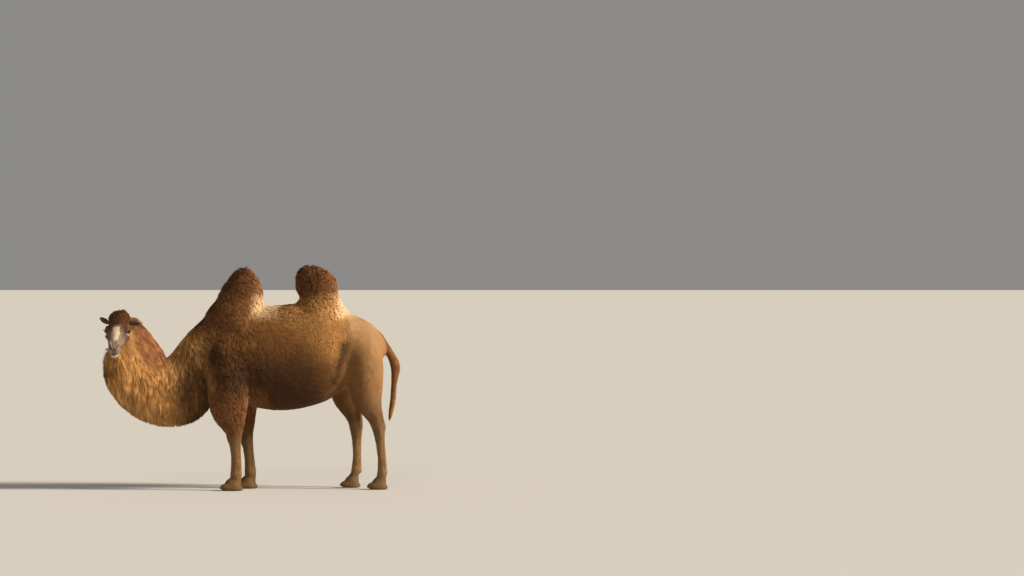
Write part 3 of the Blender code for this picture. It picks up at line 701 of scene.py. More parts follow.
# Paths on each leg's outer side, in millimetres: (points, width, height). A point is its distance
# in front of the leg's rear edge, its distance from the leg's middle and its height.
LEG_STROKES = {
    "fore": [
        # groove between cannon bone and tendons, the knee and the hollow under it
        ([(42, 46, 190), (42, 46, 420)], 11, -7.5),
        ([(142, 0, 520), (138, 0, 475)], 28, 6),
        ([(120, 0, 420), (112, 0, 380)], 30, -5),
        ([(82, 56, 520), (78, 54, 470)], 14, 4.5),
        ([(108, 52, 530), (104, 46, 450)], 9, -4.5),
    ],
    "hind": [
        ([(36, 42, 190), (36, 44, 450)], 11, -7.5),
        # hollow in front of the Achilles tendon, and the bones of the hock
        ([(46, 50, 630), (56, 56, 700), (66, 64, 790)], 16, -15),
        ([(24, 0, 610), (22, 0, 580)], 20, 6),
        ([(66, 48, 560), (60, 46, 520)], 16, 5),
        ([(110, 0, 500), (100, 0, 440)], 26, -5),
    ],
}
LEGS = ("fore_left", "fore_right", "hind_left", "hind_right")
# Cleft between the toes, in millimetres: distance behind the foot's front edge, and height.
CLEFT = [(6, 12), (14, 55), (48, 95), (76, 125)]


def leg_height(points):
    """Bones, tendons, fetlocks and the cleft between the toes."""
    height = np.zeros(len(points))
    for leg in LEGS:
        foot = middle(f"{leg}_foot")
        front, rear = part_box(f"{leg}_foot")[0].x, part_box(f"{leg}_lower")[1].x
        local = np.stack([rear - points[:, 0], points[:, 1] - foot.y, points[:, 2]], axis=1)
        near = np.abs(local[:, 1]) < 0.11
        near &= (np.abs(local[:, 0] - 0.11) < 0.18) & (local[:, 2] < 0.88)
        at = local[near]
        # the fetlock and the narrow pastern under it
        total = 0.0045 * np.exp(-((at[:, 2] - 0.165) / 0.024) ** 2)
        total -= 0.0045 * np.exp(-((at[:, 2] - 0.113) / 0.018) ** 2)
        for line in LEG_STROKES[leg[:4]]:
            path, width, rise = in_metres(*line)
            for one in both_sides(path) if path[0][1] else [path]:
                total += stroke(at, one, width, rise)
        cleft = [(rear - front - back / 1000, 0.0, up / 1000) for back, up in CLEFT]
        total += stroke(at, cleft, 0.0085, -0.0100)
        height[near] += total
    return height


def body_height(points):
    """Muscle and hollow on the bare parts of the body."""
    centred = points - [0, MIDLINE, 0]
    height = np.zeros(len(points))
    for path, width, rise in BODY_STROKES:
        for one in both_sides(path):
            height += stroke(centred, one, width, rise)
    return height


def lumps(points, weights):
    """Clumping of the wool, which the tufts follow."""
    shaggy = share_of(weights, "wool", "breeches", "curls", "mane", "beard", "forelock")
    broad = soft_noise(points, 0.085, 5) * 0.0065
    small = soft_noise(points, 0.038, 6) * 0.0035
    return shaggy * (broad + small)


# ---- lie of the coat
def coat_lie(points, normals, weights):
    """Which way the coat lies at each point, in the surface."""
    local = to_head(points)
    centred = points - [0, MIDLINE, 0]
    ahead, left, crown = (np.array(HEAD.to_3x3().col[k]) for k in range(3))
    sideways = np.sign(centred[:, 1])[:, None] * np.array([0.0, 1.0, 0.0])
    low = smooth_step(1.2, 1.6, points[:, 2])[:, None]
    fields = {
        "wool": np.array([0.45, 0.0, -0.85]) + 0.25 * sideways * low,
        "flank": np.array([0.50, 0.0, -0.85]) + 0.25 * sideways * low,
        "neck": np.array([0.12, 0.0, -1.0]),
        "sleek": np.array([0.35, 0.0, -0.95]),
        "shank": np.array([0.06, 0.0, -1.0]),
        "foot": np.array([-0.45, 0.0, -0.75]),
        "breeches": np.array([0.16, 0.0, -1.0]),
        "curls": np.array([0.10, 0.0, -1.0]),
        "mane": np.array([0.42, 0.04, -0.90]),
        "beard": np.array([0.05, 0.0, -1.0]),
        "tail": np.array([0.10, 0.0, -1.0]),
        "forelock": ahead * 0.75 - crown * 0.35 + left * np.sign(local[:, 1:2]) * 0.45,
        "ear": unit(points - from_head([[-0.10, 0.0, 0.02]])),
        "face": -ahead - 0.40 * crown + left * np.sign(local[:, 1:2]) * 0.20,
        "cheek": -ahead * 0.75 - crown * 0.75,
        "chin": -crown - 0.2 * ahead,
    }
    total = np.zeros_like(points)
    for kind, field in fields.items():
        total += weights[:, [KINDS.index(kind)]] * field
    return along(total, normals)


# ---- markings
def palette():
    """The coat's colours, from the sidebar's settings."""
    settings = bpy.context.scene.camel_coat
    names = (
        "ginger", "shade", "gold", "dark", "rust", "tan", "cream", "leg", "blaze", "hide", "muzzle"
    )
    return {name: np.array(getattr(settings, name)) for name in names}


# Each kind of coat's colour in the palette, and its brightness.
KIND_INKS = {
    "wool": ("ginger", 0.9), "flank": ("ginger", 1.0), "neck": ("gold", 1.0),
    "sleek": ("tan", 1.0), "shank": ("leg", 1.0), "foot": ("leg", 1.0),
    "breeches": ("dark", 1.25), "curls": ("dark", 1.12), "mane": ("rust", 1.0),
    "beard": ("gold", 1.0), "tail": ("ginger", 1.0), "forelock": ("dark", 1.0),
    "face": ("hide", 1.0), "ear": ("hide", 1.0), "cheek": ("gold", 0.92), "chin": ("gold", 1.0),
}


class Paint:
    """Colours at a run of points, which are painted over in the palette's colours."""

    def __init__(self, colours, weights):
        self.ink = palette()
        self.colours = colours
        self.weights = weights

    def over(self, name, light, share):
        """Mixes in a colour at some brightness, by a share at each point."""
        share = np.clip(share, 0, 1)[:, None]
        self.colours = self.colours * (1 - share) + self.ink[name] * light * share

    def of(self, *kinds):
        return share_of(self.weights, *kinds)


def fall(low, high, values):
    """1 below low, falling smoothly to 0 above high."""
    return 1 - smooth_step(low, high, values)


def oval(x, z, middle, reach):
    """A soft oval patch, as seen from the side."""
    return np.exp(-(((x - middle[0]) / reach[0]) ** 2 + ((z - middle[1]) / reach[1]) ** 2))


def markings_and_painted_light(points, weights, lines):
    """Colour of skin and coat at each point, from its kind of coat and its place in metres, with
    the painted light and shade noted below.
    """
    paint = Paint(np.zeros((len(points), 3)), weights)
    over, of = paint.over, paint.of
    for kind, (name, light) in KIND_INKS.items():
        paint.colours += weights[:, [KINDS.index(kind)]] * (paint.ink[name] * light)
    patch, fine = soft_noise(points, 0.16, 21), soft_noise(points, 0.05, 22)
    x, z = points[:, 0], points[:, 2]
    # darker wool low on the barrel, over the belly and on the shoulder, deepened by painted shade
    woolly = of("wool", "flank") + of("breeches") * smooth_step(0.76, 1.02, z)
    over("shade", 0.7, woolly * fall(0.98, 1.42, z + 0.06 * patch) * 0.88)
    belly = oval(x, z, (0.20, 1.14), (0.42, 0.30))
    over("shade", 0.60, woolly * belly * (0.62 + 0.15 * patch))
    over("shade", 0.55, woolly * oval(x, z, (-0.42, 1.22), (0.24, 0.30)) * 0.88)
    # the barrel grows golden towards the rump, partly as painted light falling on its rear
    rear = smooth_step(0.35, 0.90, x + 0.5 * (z - 1.3) + 0.06 * patch)
    over("gold", 1.0, woolly * rear * 0.75)
    # long hair is golden above; in front of the shoulder it is darker hair under a painted cast
    # shadow of the shoulder, and under the throat dark hair deepened by painted shade
    hanging = of("neck", "beard", "mane")
    over("gold", 1.30, of("neck", "beard") * smooth_step(0.80, 1.10, z) * 0.8)
    shadow = smooth_step(-0.82, -0.56, x + 0.06 * patch) * (1 - 0.6 * smooth_step(1.32, 1.46, z))
    over("shade", 0.55, hanging * shadow * 0.82)
    throat = fall(-1.37, -1.22, x + 0.35 * (1.25 - z) * (z < 1.25) + 0.02 * fine)
    over("shade", 0.7, hanging * throat * fall(1.20, 1.32, z) * 0.80)
    # paler along the back and on the saddle between the humps
    back = smooth_step(1.52, 1.70, z + 0.04 * fine) * smooth_step(0.0, 0.2, x)
    over("gold", 1.0, woolly * back * 0.55)
    # dark front ridge of the front hump, down to the nape: dark wool, partly painted shade on the
    # slope that faces away from the light
    ridge = smooth_step(0.02, -0.20, x + 0.05 * fine) * smooth_step(1.42, 1.62, z)
    over("dark", 1.3, woolly * ridge * 0.8)
    # cream on the rear slope of each hump: paler hair, partly a painted highlight
    for top, start, end in ((FRONT_TOP, 0.03, 0.22), (REAR_TOP, 0.11, 0.30)):
        behind = x - top.x
        slope = smooth_step(start, start + 0.12, behind) * fall(end, end + 0.13, behind)
        band = smooth_step(1.60, 1.60 + 0.08, z) * fall(1.84, 1.92, z + 0.03 * fine)
        over("cream", 1.0, slope * band * 0.85)
    # pale croup and buttock, partly a painted highlight; browner thigh and inner side, partly
    # painted shade; dark folds of the flank, painted shade in its hollow and in the thigh's furrow
    sleek = of("sleek")
    over("cream", 1.0, sleek * smooth_step(1.30, 1.60, z) * 0.15)
    over("ginger", 0.7, sleek * fall(0.98, 1.12, x + 0.02 * fine) * fall(1.20, 1.45, z) * 0.85)
    centred = points - [0, MIDLINE, 0]
    for path, _, _ in BODY_STROKES[:2]:
        for one in both_sides(path):
            over("shade", 0.6, of("sleek", "flank") * stroke(centred, one, 0.046, 1.0) * 0.90)
    # darker low on the hind legs' short coat, partly painted shade
    over("shade", 0.9, sleek * fall(0.62, 1.05, z) * 0.60)
    # crowns of curl are lighter and redder behind, partly as painted light on their rear sides,
    # and darker in front
    for top in (FRONT_TOP, REAR_TOP):
        near = np.abs(x - top.x) < 0.32
        behind = smooth_step(0.0, 0.16, x - top.x + 0.03 * patch) * near
        over("rust", 1.0, of("curls") * behind * 0.55)
    # forearm's wool is red-brown
    over("rust", 1.0, of("breeches") * (0.35 + 0.3 * fine) * 0.8)
    # legs are darker above and at the feet; painted shade darkens their hollows
    shank = of("shank", "foot")
    over("shade", 1.0, shank * smooth_step(0.35, 0.60, z) * 0.45)
    over("shade", 0.8, shank * fall(0.05, 0.16, z + 0.02 * fine) * 0.45)
    # painted shade in the legs' grooves and hollows, and a faint painted highlight on their bones
    # and tendons
    colours = paint.colours * (1 + 10 * (shank * leg_height(points)).clip(-0.03, 0.01))[:, None]
    head = head_share(points) > 0
    colours[head] = head_markings_and_painted_shade(Paint(colours[head], weights[head]), points[head], lines)
    return np.clip(colours * (1 + 0.10 * patch + 0.08 * fine)[:, None], 0.001, 1)


def head_markings_and_painted_shade(paint, points, lines):
    """Blaze, muzzle, lips, rims of the eyes and ears, from a point's place on the head, with
    painted shade in the nostrils, the mouth and the folds.
    """
    over, of = paint.over, paint.of
    local = to_head(points)
    x, y, z = local[:, 0], np.abs(local[:, 1]), local[:, 2]
    face, cheek, ear = of("face"), of("cheek"), of("ear")
    fine, small = soft_noise(points, 0.022, 31), soft_noise(points, 0.008, 32)
    # grey-brown cheeks grow paler towards the nose
    over("blaze", 1.0, face * 0.25 * smooth_step(0.03, 0.14, x))
    # golden fur on the cheeks turns red-brown up to the temples
    over("rust", 0.75, cheek * smooth_step(-0.03, 0.05, z + 0.01 * fine) * 0.8)
    # pale blaze down the nose, greyish muzzle and pale lower lip
    half = 0.026 + 0.008 * smooth_step(0.02, 0.10, x) - 0.006 * smooth_step(0.14, 0.20, x)
    blaze = smooth_step(-0.035, 0.02, z + 0.25 * x * (x > 0))
    blaze = blaze * fall(-0.007, 0.013, y - half + 0.007 * fine + 0.004 * small)
    blaze *= smooth_step(-0.075, 0.00, x) * fall(0.215, 0.265, x + 0.012 * fine)
    over("blaze", 1.0, face * blaze * 0.95)
    nose = smooth_step(0.185, 0.245, x + 0.010 * fine + 0.006 * small)
    over("muzzle", 1.0, face * nose * (1 - 0.6 * blaze))
    lips = smooth_step(0.19, 0.25, x) * smooth_step(-0.086, -0.097, z + 0.004 * fine)
    over("blaze", 1.05, face * lips * 0.85)
    # painted shade inside the nostrils, along the line of the mouth and in the cleft of the lip
    for name, share in (("nostril", 1.0), ("nostril_top", 1.0), ("mouth", 0.95), ("cleft", 0.75)):
        runs, width, _ = lines[name]
        for run in runs:
            over("dark", 0.16, stroke(local, run, width * 1.15, 1) * share)
    # painted shade in the crease of the upper lid, the creases under the eye, the fold from the
    # nostril's wing and the tear line
    for name in ("lid_crease", "bag_crease", "wing_fold", "tear_line"):
        runs, width, _ = lines[name]
        for run in runs:
            over("hide", 0.45, face * stroke(local, run, width * 1.2, 1) * 0.45)
    # pale ring below the eye, dark rim round it and dark brow over it
    for side in (-1, 1):
        away = np.linalg.norm(local - [0.004, side * EYE_SPREAD, -0.002], axis=1)
        ring = np.exp(-((away - 0.033) / 0.008) ** 2)
        over("blaze", 1.0, face * ring * 0.55 * smooth_step(0.012, -0.022, z))
        over("dark", 0.30, face * fall(0.0220, 0.0265, away) * 0.95)
        brow = stroke(local, [(0.045, side * 0.085, 0.036), (-0.04, side * 0.10, 0.044)], 0.014, 1)
        over("hide", 0.45, (face + cheek) * brow * 0.70)
    over("gold", 1.2, smooth_step(0.10, 0.45, of("chin")) * 0.9)
    # dark ears with a pale edge
    over("dark", 1.0, ear * 0.45)
    over("blaze", 1.0, ear * smooth_step(0.17, 0.215, y + 0.01 * fine) * 0.8)
    return paint.colours


def largest_shell(points, triangles):
    """The biggest of the separate shells, without any closed pocket inside it."""
    one, other = edges_of(triangles).T
    label = np.arange(len(points))
    while True:
        new = label.copy()
        low = np.minimum(label[one], label[other])
        np.minimum.at(new, one, low)
        np.minimum.at(new, other, low)
        new = new[new]
        if (new == label).all():
            break
        label = new
    shells, sizes = np.unique(label, return_counts=True)
    kept = label == shells[sizes.argmax()]
    number = np.cumsum(kept) - 1
    return points[kept], number[triangles[kept[triangles[:, 0]]]]


def face_zone(points):
    """Points of the face and muzzle, where folds are sculpted."""
    local = to_head(points)
    from_middle = np.linalg.norm((local - [0.13, 0, -0.04]) / [0.20, 0.14, 0.12], axis=1)
    return from_middle < 1


def detail_zone(points, lines):
    """Points round the eyes, nostrils and mouth, where the skin is finest."""
    local = to_head(points)
    near = np.zeros(len(points), bool)
    for side in (-1, 1):
        near |= np.linalg.norm(local - [0.002, side * EYE_SPREAD, 0.0], axis=1) < 0.036
    head = np.flatnonzero(local[:, 0] > 0.12)
    for name in ("nostril", "nostril_top", "mouth", "cleft", "wing_fold"):
        for run in lines[name][0]:
            near[head] |= distance_to_path(local[head], run) < 0.011
    return near & (head_share(points) > 0)


def thickness(points, normals, triangles, reach=0.12):
    """How thick the form is behind each point, up to reach."""
    tree = BVHTree.FromPolygons(points.tolist(), triangles.tolist())
    found = np.full(len(points), reach)
    for index, (point, normal) in enumerate(zip(points.tolist(), normals.tolist())):
        inward = -Vector(normal)
        hit = tree.ray_cast(Vector(point) + inward * 0.0005, inward, reach)
        if hit[3] is not None:
            found[index] = hit[3]
    return found


# The skin lies no deeper than this share of the form's thickness behind it.
DEEPEST = 0.36
# Legs are finest where their bones and grooves rise or sink by more than this, in metres.
LEG_DETAIL = 0.0012


def make_skin():
    """The skin: the whole form evened out, sunk by the coat's depth and sculpted."""
    form = whole_form()
    points, triangles = largest_shell(*mesh_arrays(form.data))
    bpy.data.objects.remove(form)
    lines = laid_lines(points, triangles)
    points, triangles = refined(points, triangles, face_zone(points))
    points, triangles = refined(points, triangles, detail_zone(points, lines))
    points, triangles = refined(points, triangles, np.abs(leg_height(points)) > LEG_DETAIL)
    edges = edges_of(triangles)
    home = home_nodes(points)
    weights = kind_weights(points, edges, home)

    # the outline, out to the coat's tips, is evened out least on the head
    on_head = share_of(weights, "face", "ear", "cheek", "chin")
    outer = relaxed(points, edges, 8, 0.5 - 0.42 * on_head)
    normals = normals_of(outer, triangles)
    depth = np.minimum(blend(weights, "depth"), DEEPEST * thickness(outer, normals, triangles))
    depth = relaxed(depth[:, None], edges, 6)[:, 0]

    # the skin under it follows clumps of wool, muscles and bones
    inset = depth - lumps(outer, weights) * smooth_step(0.004, 0.02, depth)
    bare = share_of(weights, "sleek", "wool", "flank") * smooth_step(0.66, 0.78, outer[:, 0])
    inset -= body_height(outer) * bare
    inset -= leg_height(outer) * share_of(weights, "shank", "foot", "sleek")
    inner = outer - unit(relaxed(normals, edges, 6)) * inset[:, None]
    inner = relaxed(inner, edges, 3, 0.45 * (1 - on_head))
    inner = sculpted_head(inner, outer, triangles, lines)

    mesh = mesh_from("skin", inner, triangles)
    set_attribute(mesh, "marking", with_alpha(markings_and_painted_light(outer, weights, lines)))
    set_attribute(mesh, "lie", coat_lie(inner, normals_of(inner, triangles), weights))
    set_attribute(mesh, "outer", outer)
    set_attribute(mesh, "home", home)
    for name in Coat._fields:
        set_attribute(mesh, name, depth if name == "depth" else blend(weights, name))
    mesh.materials.append(hide())
    body = linked("skin", mesh)
    unwrap(body)
    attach(body, "root")
    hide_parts(*(name for name in FLESH_NODES if name not in HAIR_NODES))


def unwrap(obj):
    """A UV map of the skin's own shape, which the coat's tufts are placed on too."""
    obj.data.uv_layers.new(name="OFBake")
    bpy.context.view_layer.objects.active = obj
    for other in bpy.context.selected_objects:
        other.select_set(False)
    obj.select_set(True)
    bpy.ops.object.mode_set(mode="EDIT")
    bpy.ops.mesh.select_all(action="SELECT")
    bpy.ops.uv.smart_project(angle_limit=1.15, island_margin=0.002)
    bpy.ops.object.mode_set(mode="OBJECT")
    obj.select_set(False)


# ---- making tufts
Roots = namedtuple("Roots", "point normal lie colour uv depth length width bow pull dusk")


class Skin:
    """The finished skin's mesh read back as arrays, with the coat's fields at its points."""

    def __init__(self):
        mesh = bpy.data.objects["skin"].data
        self.points, self.triangles = mesh_arrays(mesh)
        self.normals = normals_of(self.points, self.triangles)
        self.lie = get_attribute(mesh, "lie", 3)
        self.colour = get_attribute(mesh, "marking", 4)[:, :3]
        self.home = get_attribute(mesh, "home").round().astype(int)
        self.fields = {name: get_attribute(mesh, name) for name in Coat._fields}
        loops = np.empty(len(mesh.loop_triangles) * 3, np.int32)
        mesh.loop_triangles.foreach_get("loops", loops)
        uv = np.empty(len(mesh.loops) * 2, np.float32)
        mesh.uv_layers["OFBake"].uv.foreach_get("vector", uv)
        self.uv = uv.reshape(-1, 2)[loops.reshape(-1, 3)]
        a, b, c = (self.points[self.triangles[:, k]] for k in range(3))
        self.area = np.linalg.norm(np.cross(b - a, c - a), axis=1) / 2
        outer = get_attribute(mesh, "outer", 3)
        self.outline = BVHTree.FromPolygons(outer.tolist(), self.triangles.tolist())
        self.room = self.fields["depth"][self.triangles].mean(axis=1).tolist()

    def roots(self, chosen, rng, crowd):
        """Roots spread over the triangles whose corners are chosen."""
        share = chosen[self.triangles].mean(axis=1)
        density = (crowd / self.fields["spacing"][self.triangles] ** 2).mean(axis=1)
        expected = self.area * density * share
        running = np.cumsum(expected)
        count = int(running[-1])
        ticks = (np.arange(count) + rng.random(count)) / count * running[-1]
        at = np.searchsorted(running, ticks).clip(0, len(running) - 1)
        one, two = rng.random(count), rng.random(count)
        over = one + two > 1
        one[over], two[over] = 1 - one[over], 1 - two[over]
        part = np.stack([1 - one - two, one, two], axis=1)
        corners = self.triangles[at]

        def there(values):
            weight = part if values.ndim == 1 else part[:, :, None]
            return (values[corners] * weight).sum(axis=1)

        normal = unit(there(self.normals))
        return Roots(
            there(self.points), normal, along(there(self.lie), normal), there(self.colour),
            (self.uv[at] * part[:, :, None]).sum(axis=1),
            *(there(self.fields[name]) for name in Roots._fields[5:]),
        )


@cache
def skin():
    """The skin's arrays, read once after it is made."""
    return Skin()


def settled(points, allowance, deepest):
    """Points kept within their allowance outside the coat's outline, and within a share of the
    coat's depth inside it, so that no end dives under the skin where the form curves in. It gives
    the outline's direction at each too."""
    tree, room = skin().outline, skin().room
    result, facing = points.copy(), np.empty_like(points)
    for index, point in enumerate(points.tolist()):
        spot, facing[index], face, _ = nearest = tree.find_nearest(point)
        out = (Vector(point) - spot).dot(nearest[1])
        held = min(max(out, -deepest * room[face]), allowance[index])
        result[index] += facing[index] * (held - out)
    return result, facing


def overshoot(points):
    """How far each point lies outside the coat's outline, or 0."""
    tree = skin().outline
    over = np.empty(len(points))
    for index, point in enumerate(points.tolist()):
        spot, normal, _, _ = tree.find_nearest(point)
        over[index] = max(0.0, (Vector(point) - spot).dot(normal))
    return over


def turned(vectors, axes, angles):
    """Vectors turned about axes at right angles to them."""
    cos, sin = np.cos(angles)[:, None], np.sin(angles)[:, None]
    return vectors * cos + np.cross(axes, vectors) * sin


# For each number of rings, where they stand from root to tip and how wide the tuft is there.
PROFILES = {
    1: ((0.0,), (1.0,)),
    2: ((0.0, 0.48), (0.80, 1.0)),
    3: ((0.0, 0.34, 0.68), (0.75, 1.0, 0.72)),
    4: ((0.0, 0.27, 0.54, 0.78), (0.70, 1.0, 0.90, 0.58)),
}
# A tuft's patch in the UV map is this large. A piece with more fuzz than this, in metres, hangs
# free of the outline.
PATCH = 0.003
FREE_HANGING = 0.05


def lock_leaders(points, rng, members):
    """For each root, the index of the root that leads its lock."""
    leaders = rng.choice(len(points), max(1, len(points) // members), replace=False)
    tree = KDTree(len(leaders))
    for leader in leaders.tolist():
        tree.insert(points[leader], leader)
    tree.balance()
    return np.array([tree.find(point)[1] for point in points.tolist()])


def tuft_shapes(roots, piece, rng):
    """Points, triangles, colours and patch corners of one tapered tuft from each root."""
    count = len(roots.point)
    drift = soft_noise(roots.point, 0.11, 41) + 0.6 * soft_noise(roots.point, 0.045, 42)
    lie = turned(roots.lie, roots.normal, piece.swirl * (drift + 0.5 * rng.normal(size=count)))
    side = np.cross(roots.normal, lie)
    clump = soft_noise(roots.point, 0.05, 43)
    length = roots.length * (1 + 0.22 * clump) * rng.uniform(0.72, 1.22, count)
    rise = np.minimum(roots.depth * rng.uniform(0.55, 1.05, count), 0.8 * length)
    run = np.sqrt(length ** 2 - rise ** 2)
    swing = 0.7 * soft_noise(roots.point, 0.035, 44) + 0.5 * rng.normal(size=count)
    bend = roots.bow * length * swing
    bury = np.minimum(0.3 * roots.depth, 0.004) + 0.0006
    root = roots.point - roots.normal * bury[:, None]

    def ends(run, rise):
        elbow = root + roots.normal * rise[:, None] + lie * (0.34 * run)[:, None]
        elbow += side * (0.55 * bend)[:, None]
        tip = root + roots.normal * (0.80 * rise)[:, None] + lie * run[:, None]
        tip += side * bend[:, None] - np.array([0, 0, 1.0]) * (piece.hang * run)[:, None]
        return elbow, tip

    elbow, tip = ends(run, rise)
    if piece.hang > 0 and piece.fuzz < FREE_HANGING:
        for _ in range(2):
            run = run * np.clip(1 - overshoot(tip) / np.maximum(length, 1e-6), 0.45, 1)
            elbow, tip = ends(run, rise)
    leader = lock_leaders(roots.point, rng, piece.lock)
    gather = (roots.pull * rng.uniform(0.7, 1.15, count))[:, None]
    tip = tip + gather * (tip[leader] - tip)
    elbow = elbow + 0.45 * gather * (elbow[leader] - elbow)
    allowance = piece.fuzz * rng.random(count) ** 1.5
    elbow, _ = settled(elbow, allowance * 0.6, 0.55)
    tip, tip_normal = settled(tip, allowance, 0.35)

    # Rings stand across the line from root to tip, so that an upright tuft is as round as a
    # flat one.
    axis = unit(tip - root)
    side = unit(side - axis * np.sum(side * axis, axis=1, keepdims=True))
    top = np.cross(axis, side)

    spots, widths = PROFILES[piece.rings]
    half = roots.width * rng.uniform(0.75, 1.25, count) / 2
    rows, shades, patches = [], [], []
    for spot, wide in zip(spots, widths):
        centre = (1 - spot) ** 2 * root + 2 * spot * (1 - spot) * elbow + spot ** 2 * tip
        out = side * (half * wide)[:, None]
        up = top * (half * wide * 0.8)[:, None]
        rows += [centre + out - up * 0.3, centre - out - up * 0.3, centre + up]
        shades += [spot] * 3
        patches += [(-0.5, spot - 0.5), (0.5, spot - 0.5), (0.0, spot - 0.5)]
    rows.append(tip)
    shades.append(1.0)
    patches.append((0.0, 0.5))
    per = 3 * piece.rings + 1
    points = np.stack(rows, axis=1).reshape(-1, 3)
    start = np.arange(count)[:, None, None] * per
    triangles = (start + np.array(tuft_faces(piece.rings))[None]).reshape(-1, 3)

    shaggy = 1 - roots.dusk
    tone = rng.normal(size=count)[leader].clip(-1.6, 1.6)
    long_hair = smooth_step(0.055, 0.100, roots.length)
    own = np.exp(shaggy * (0.30 * rng.normal(size=count) + (0.35 + 0.45 * long_hair) * tone
                           + 0.25 * clump))
    # Each tuft is painted darker at its root, as shade deep in the coat, and lighter towards its
    # tip, as paler tips with a painted highlight.
    light = roots.dusk[:, None] + 1.45 * shaggy[:, None] * np.array(shades)[None, :]
    # Darker locks are also redder.
    warmth = 1 + (0.20 * shaggy * tone)[:, None] * np.array([0.0, 0.35, 1.0])
    colours = (roots.colour * warmth)[:, None, :] * (own[:, None] * light)[:, :, None]
    uv = roots.uv[:, None, :] + PATCH * np.array(patches)[None]
    # Light falls on a tuft much as on the body under it, the more so the flatter the coat.
    soft = roots.dusk[:, None]
    facing = []
    for spot in spots:
        form = unit(roots.normal * (1 - spot) + tip_normal * (spot + 0.01))
        for way in (side - 0.2 * top, -side - 0.2 * top, top):
            facing.append(soft * form + (1.05 - soft) * way)
    facing.append(soft * tip_normal + 0.5 * (1.05 - soft) * (lie + tip_normal))
    facing = unit(np.stack(facing, axis=1).reshape(-1, 3))
    return points, triangles, facing, colours.reshape(-1, 3), uv.reshape(-1, 2).clip(0, 1)


def tuft_faces(rings):
    """Triangles of one tuft: its root's cap, its three sides and its point."""
    faces = [(0, 1, 2)]
    for ring in range(rings - 1):
        low, high = 3 * ring, 3 * ring + 3
        for k in range(3):
            n = (k + 1) % 3
            faces += [(low + k, high + n, low + n), (low + k, high + k, high + n)]
    last, tip = 3 * rings - 3, 3 * rings
    faces += [(last + k, tip, last + (k + 1) % 3) for k in range(3)]
    return faces


# rings: rings of points along a tuft. lock: tufts in a lock. swirl: how far locks wander, in
# radians. fuzz: how far a tip may stand outside the outline, in metres. whole: whether the piece
# stands for its nodes. side: -1 the animal's left, 1 its right, 0 both. span: lowest and highest
# X. hang: how much ends drop, as a share of their run.
Piece = namedtuple(
    "Piece", "name nodes rings lock swirl fuzz slot finish whole side span hang",
    defaults=(False, 0, (-10.0, 10.0), 0.0),
)


def grow(piece):
    """One object of tufts over its nodes' share of the skin."""
    body = skin()
    chosen = np.isin(body.home, [HOMES.index(name) for name in piece.nodes]).astype(float)
    chosen *= (body.points[:, 0] >= piece.span[0]) & (body.points[:, 0] < piece.span[1])
    if piece.side:
        chosen *= np.sign(body.points[:, 1] - MIDLINE) == piece.side
    rng = np.random.default_rng(SEED + sum(map(ord, piece.name)))
    roots = body.roots(chosen, rng, bpy.context.scene.camel_coat.thickness)
    points, triangles, facing, colours, uv = tuft_shapes(roots, piece, rng)
    mesh = mesh_from(piece.name, points, triangles)
    mesh.normals_split_custom_set_from_vertices(facing.tolist())
    set_attribute(mesh, "marking", with_alpha(colours))
    corner = np.empty(len(mesh.loops), np.int32)
    mesh.loops.foreach_get("vertex_index", corner)
    layer = mesh.uv_layers.new(name="OFBake")
    layer.uv.foreach_set("vector", uv[corner].astype(np.float32).ravel())
    mesh.materials.append(FINISHES[piece.finish]())
    obj = linked(piece.name, mesh)
    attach(obj, "root")
    if piece.whole:
        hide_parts(*piece.nodes)


def with_alpha(colours):
    """Colours from 0 to 1, as opaque RGBA."""
    return np.concatenate([colours.clip(0, 1), np.ones((len(colours), 1))], axis=1)


NECK = ("neck_base", "neck_bend", "neck_upper")
HUMPS = ("hump_front", "hump_rear")


def leg_nodes(leg):
    return tuple(f"{leg}_{part}" for part in ("upper", "lower", "foot"))


# ---- materials
def add_node(tree, kind, settings=None, links=None):
    """Adds a node, sets its properties and inputs, and links its inputs. A node given as a source
    stands for its first output."""
    node = tree.nodes.new(kind)
    for name, value in (settings or {}).items():
        if isinstance(name, str) and hasattr(node, name):
            setattr(node, name, value)
        else:
            node.inputs[name].default_value = value
    for name, source in (links or {}).items():
        source = source.outputs[0] if isinstance(source, bpy.types.Node) else source
        tree.links.new(source, node.inputs[name])
    return node


def new_material(name, shader_settings):
    """A material with one Principled shader and its output."""
    found = bpy.data.materials.new(name)
    found.use_nodes = True
    tree = found.node_tree
    tree.nodes.clear()
    shader = add_node(tree, "ShaderNodeBsdfPrincipled", shader_settings)
    output = add_node(tree, "ShaderNodeOutputMaterial")
    tree.links.new(shader.outputs["BSDF"], output.inputs["Surface"])
    return found, tree, shader


def own_place(tree):
    """A point's place on the object, in metres."""
    return add_node(tree, "ShaderNodeTexCoord").outputs["Object"]


def noise(tree, place, grain, detail, roughness=0.5):
    """Noise with lumps about grain across."""
    settings = {"Scale": 1 / grain, "Detail": detail, "Roughness": roughness}
    return add_node(tree, "ShaderNodeTexNoise", settings, {"Vector": place}).outputs["Fac"]


def ramped(tree, shader, value, stops):
    """Colours the shader by value, through stops of (position, colour)."""
    node = add_node(tree, "ShaderNodeValToRGB", None, {"Fac": value})
    elements = node.color_ramp.elements
    while len(elements) < len(stops):
        elements.new(0.5)
    for element, (spot, code) in zip(elements, stops):
        element.position = spot
        element.color = (*linear(code), 1)
    tree.links.new(node.outputs["Color"], shader.inputs["Base Color"])


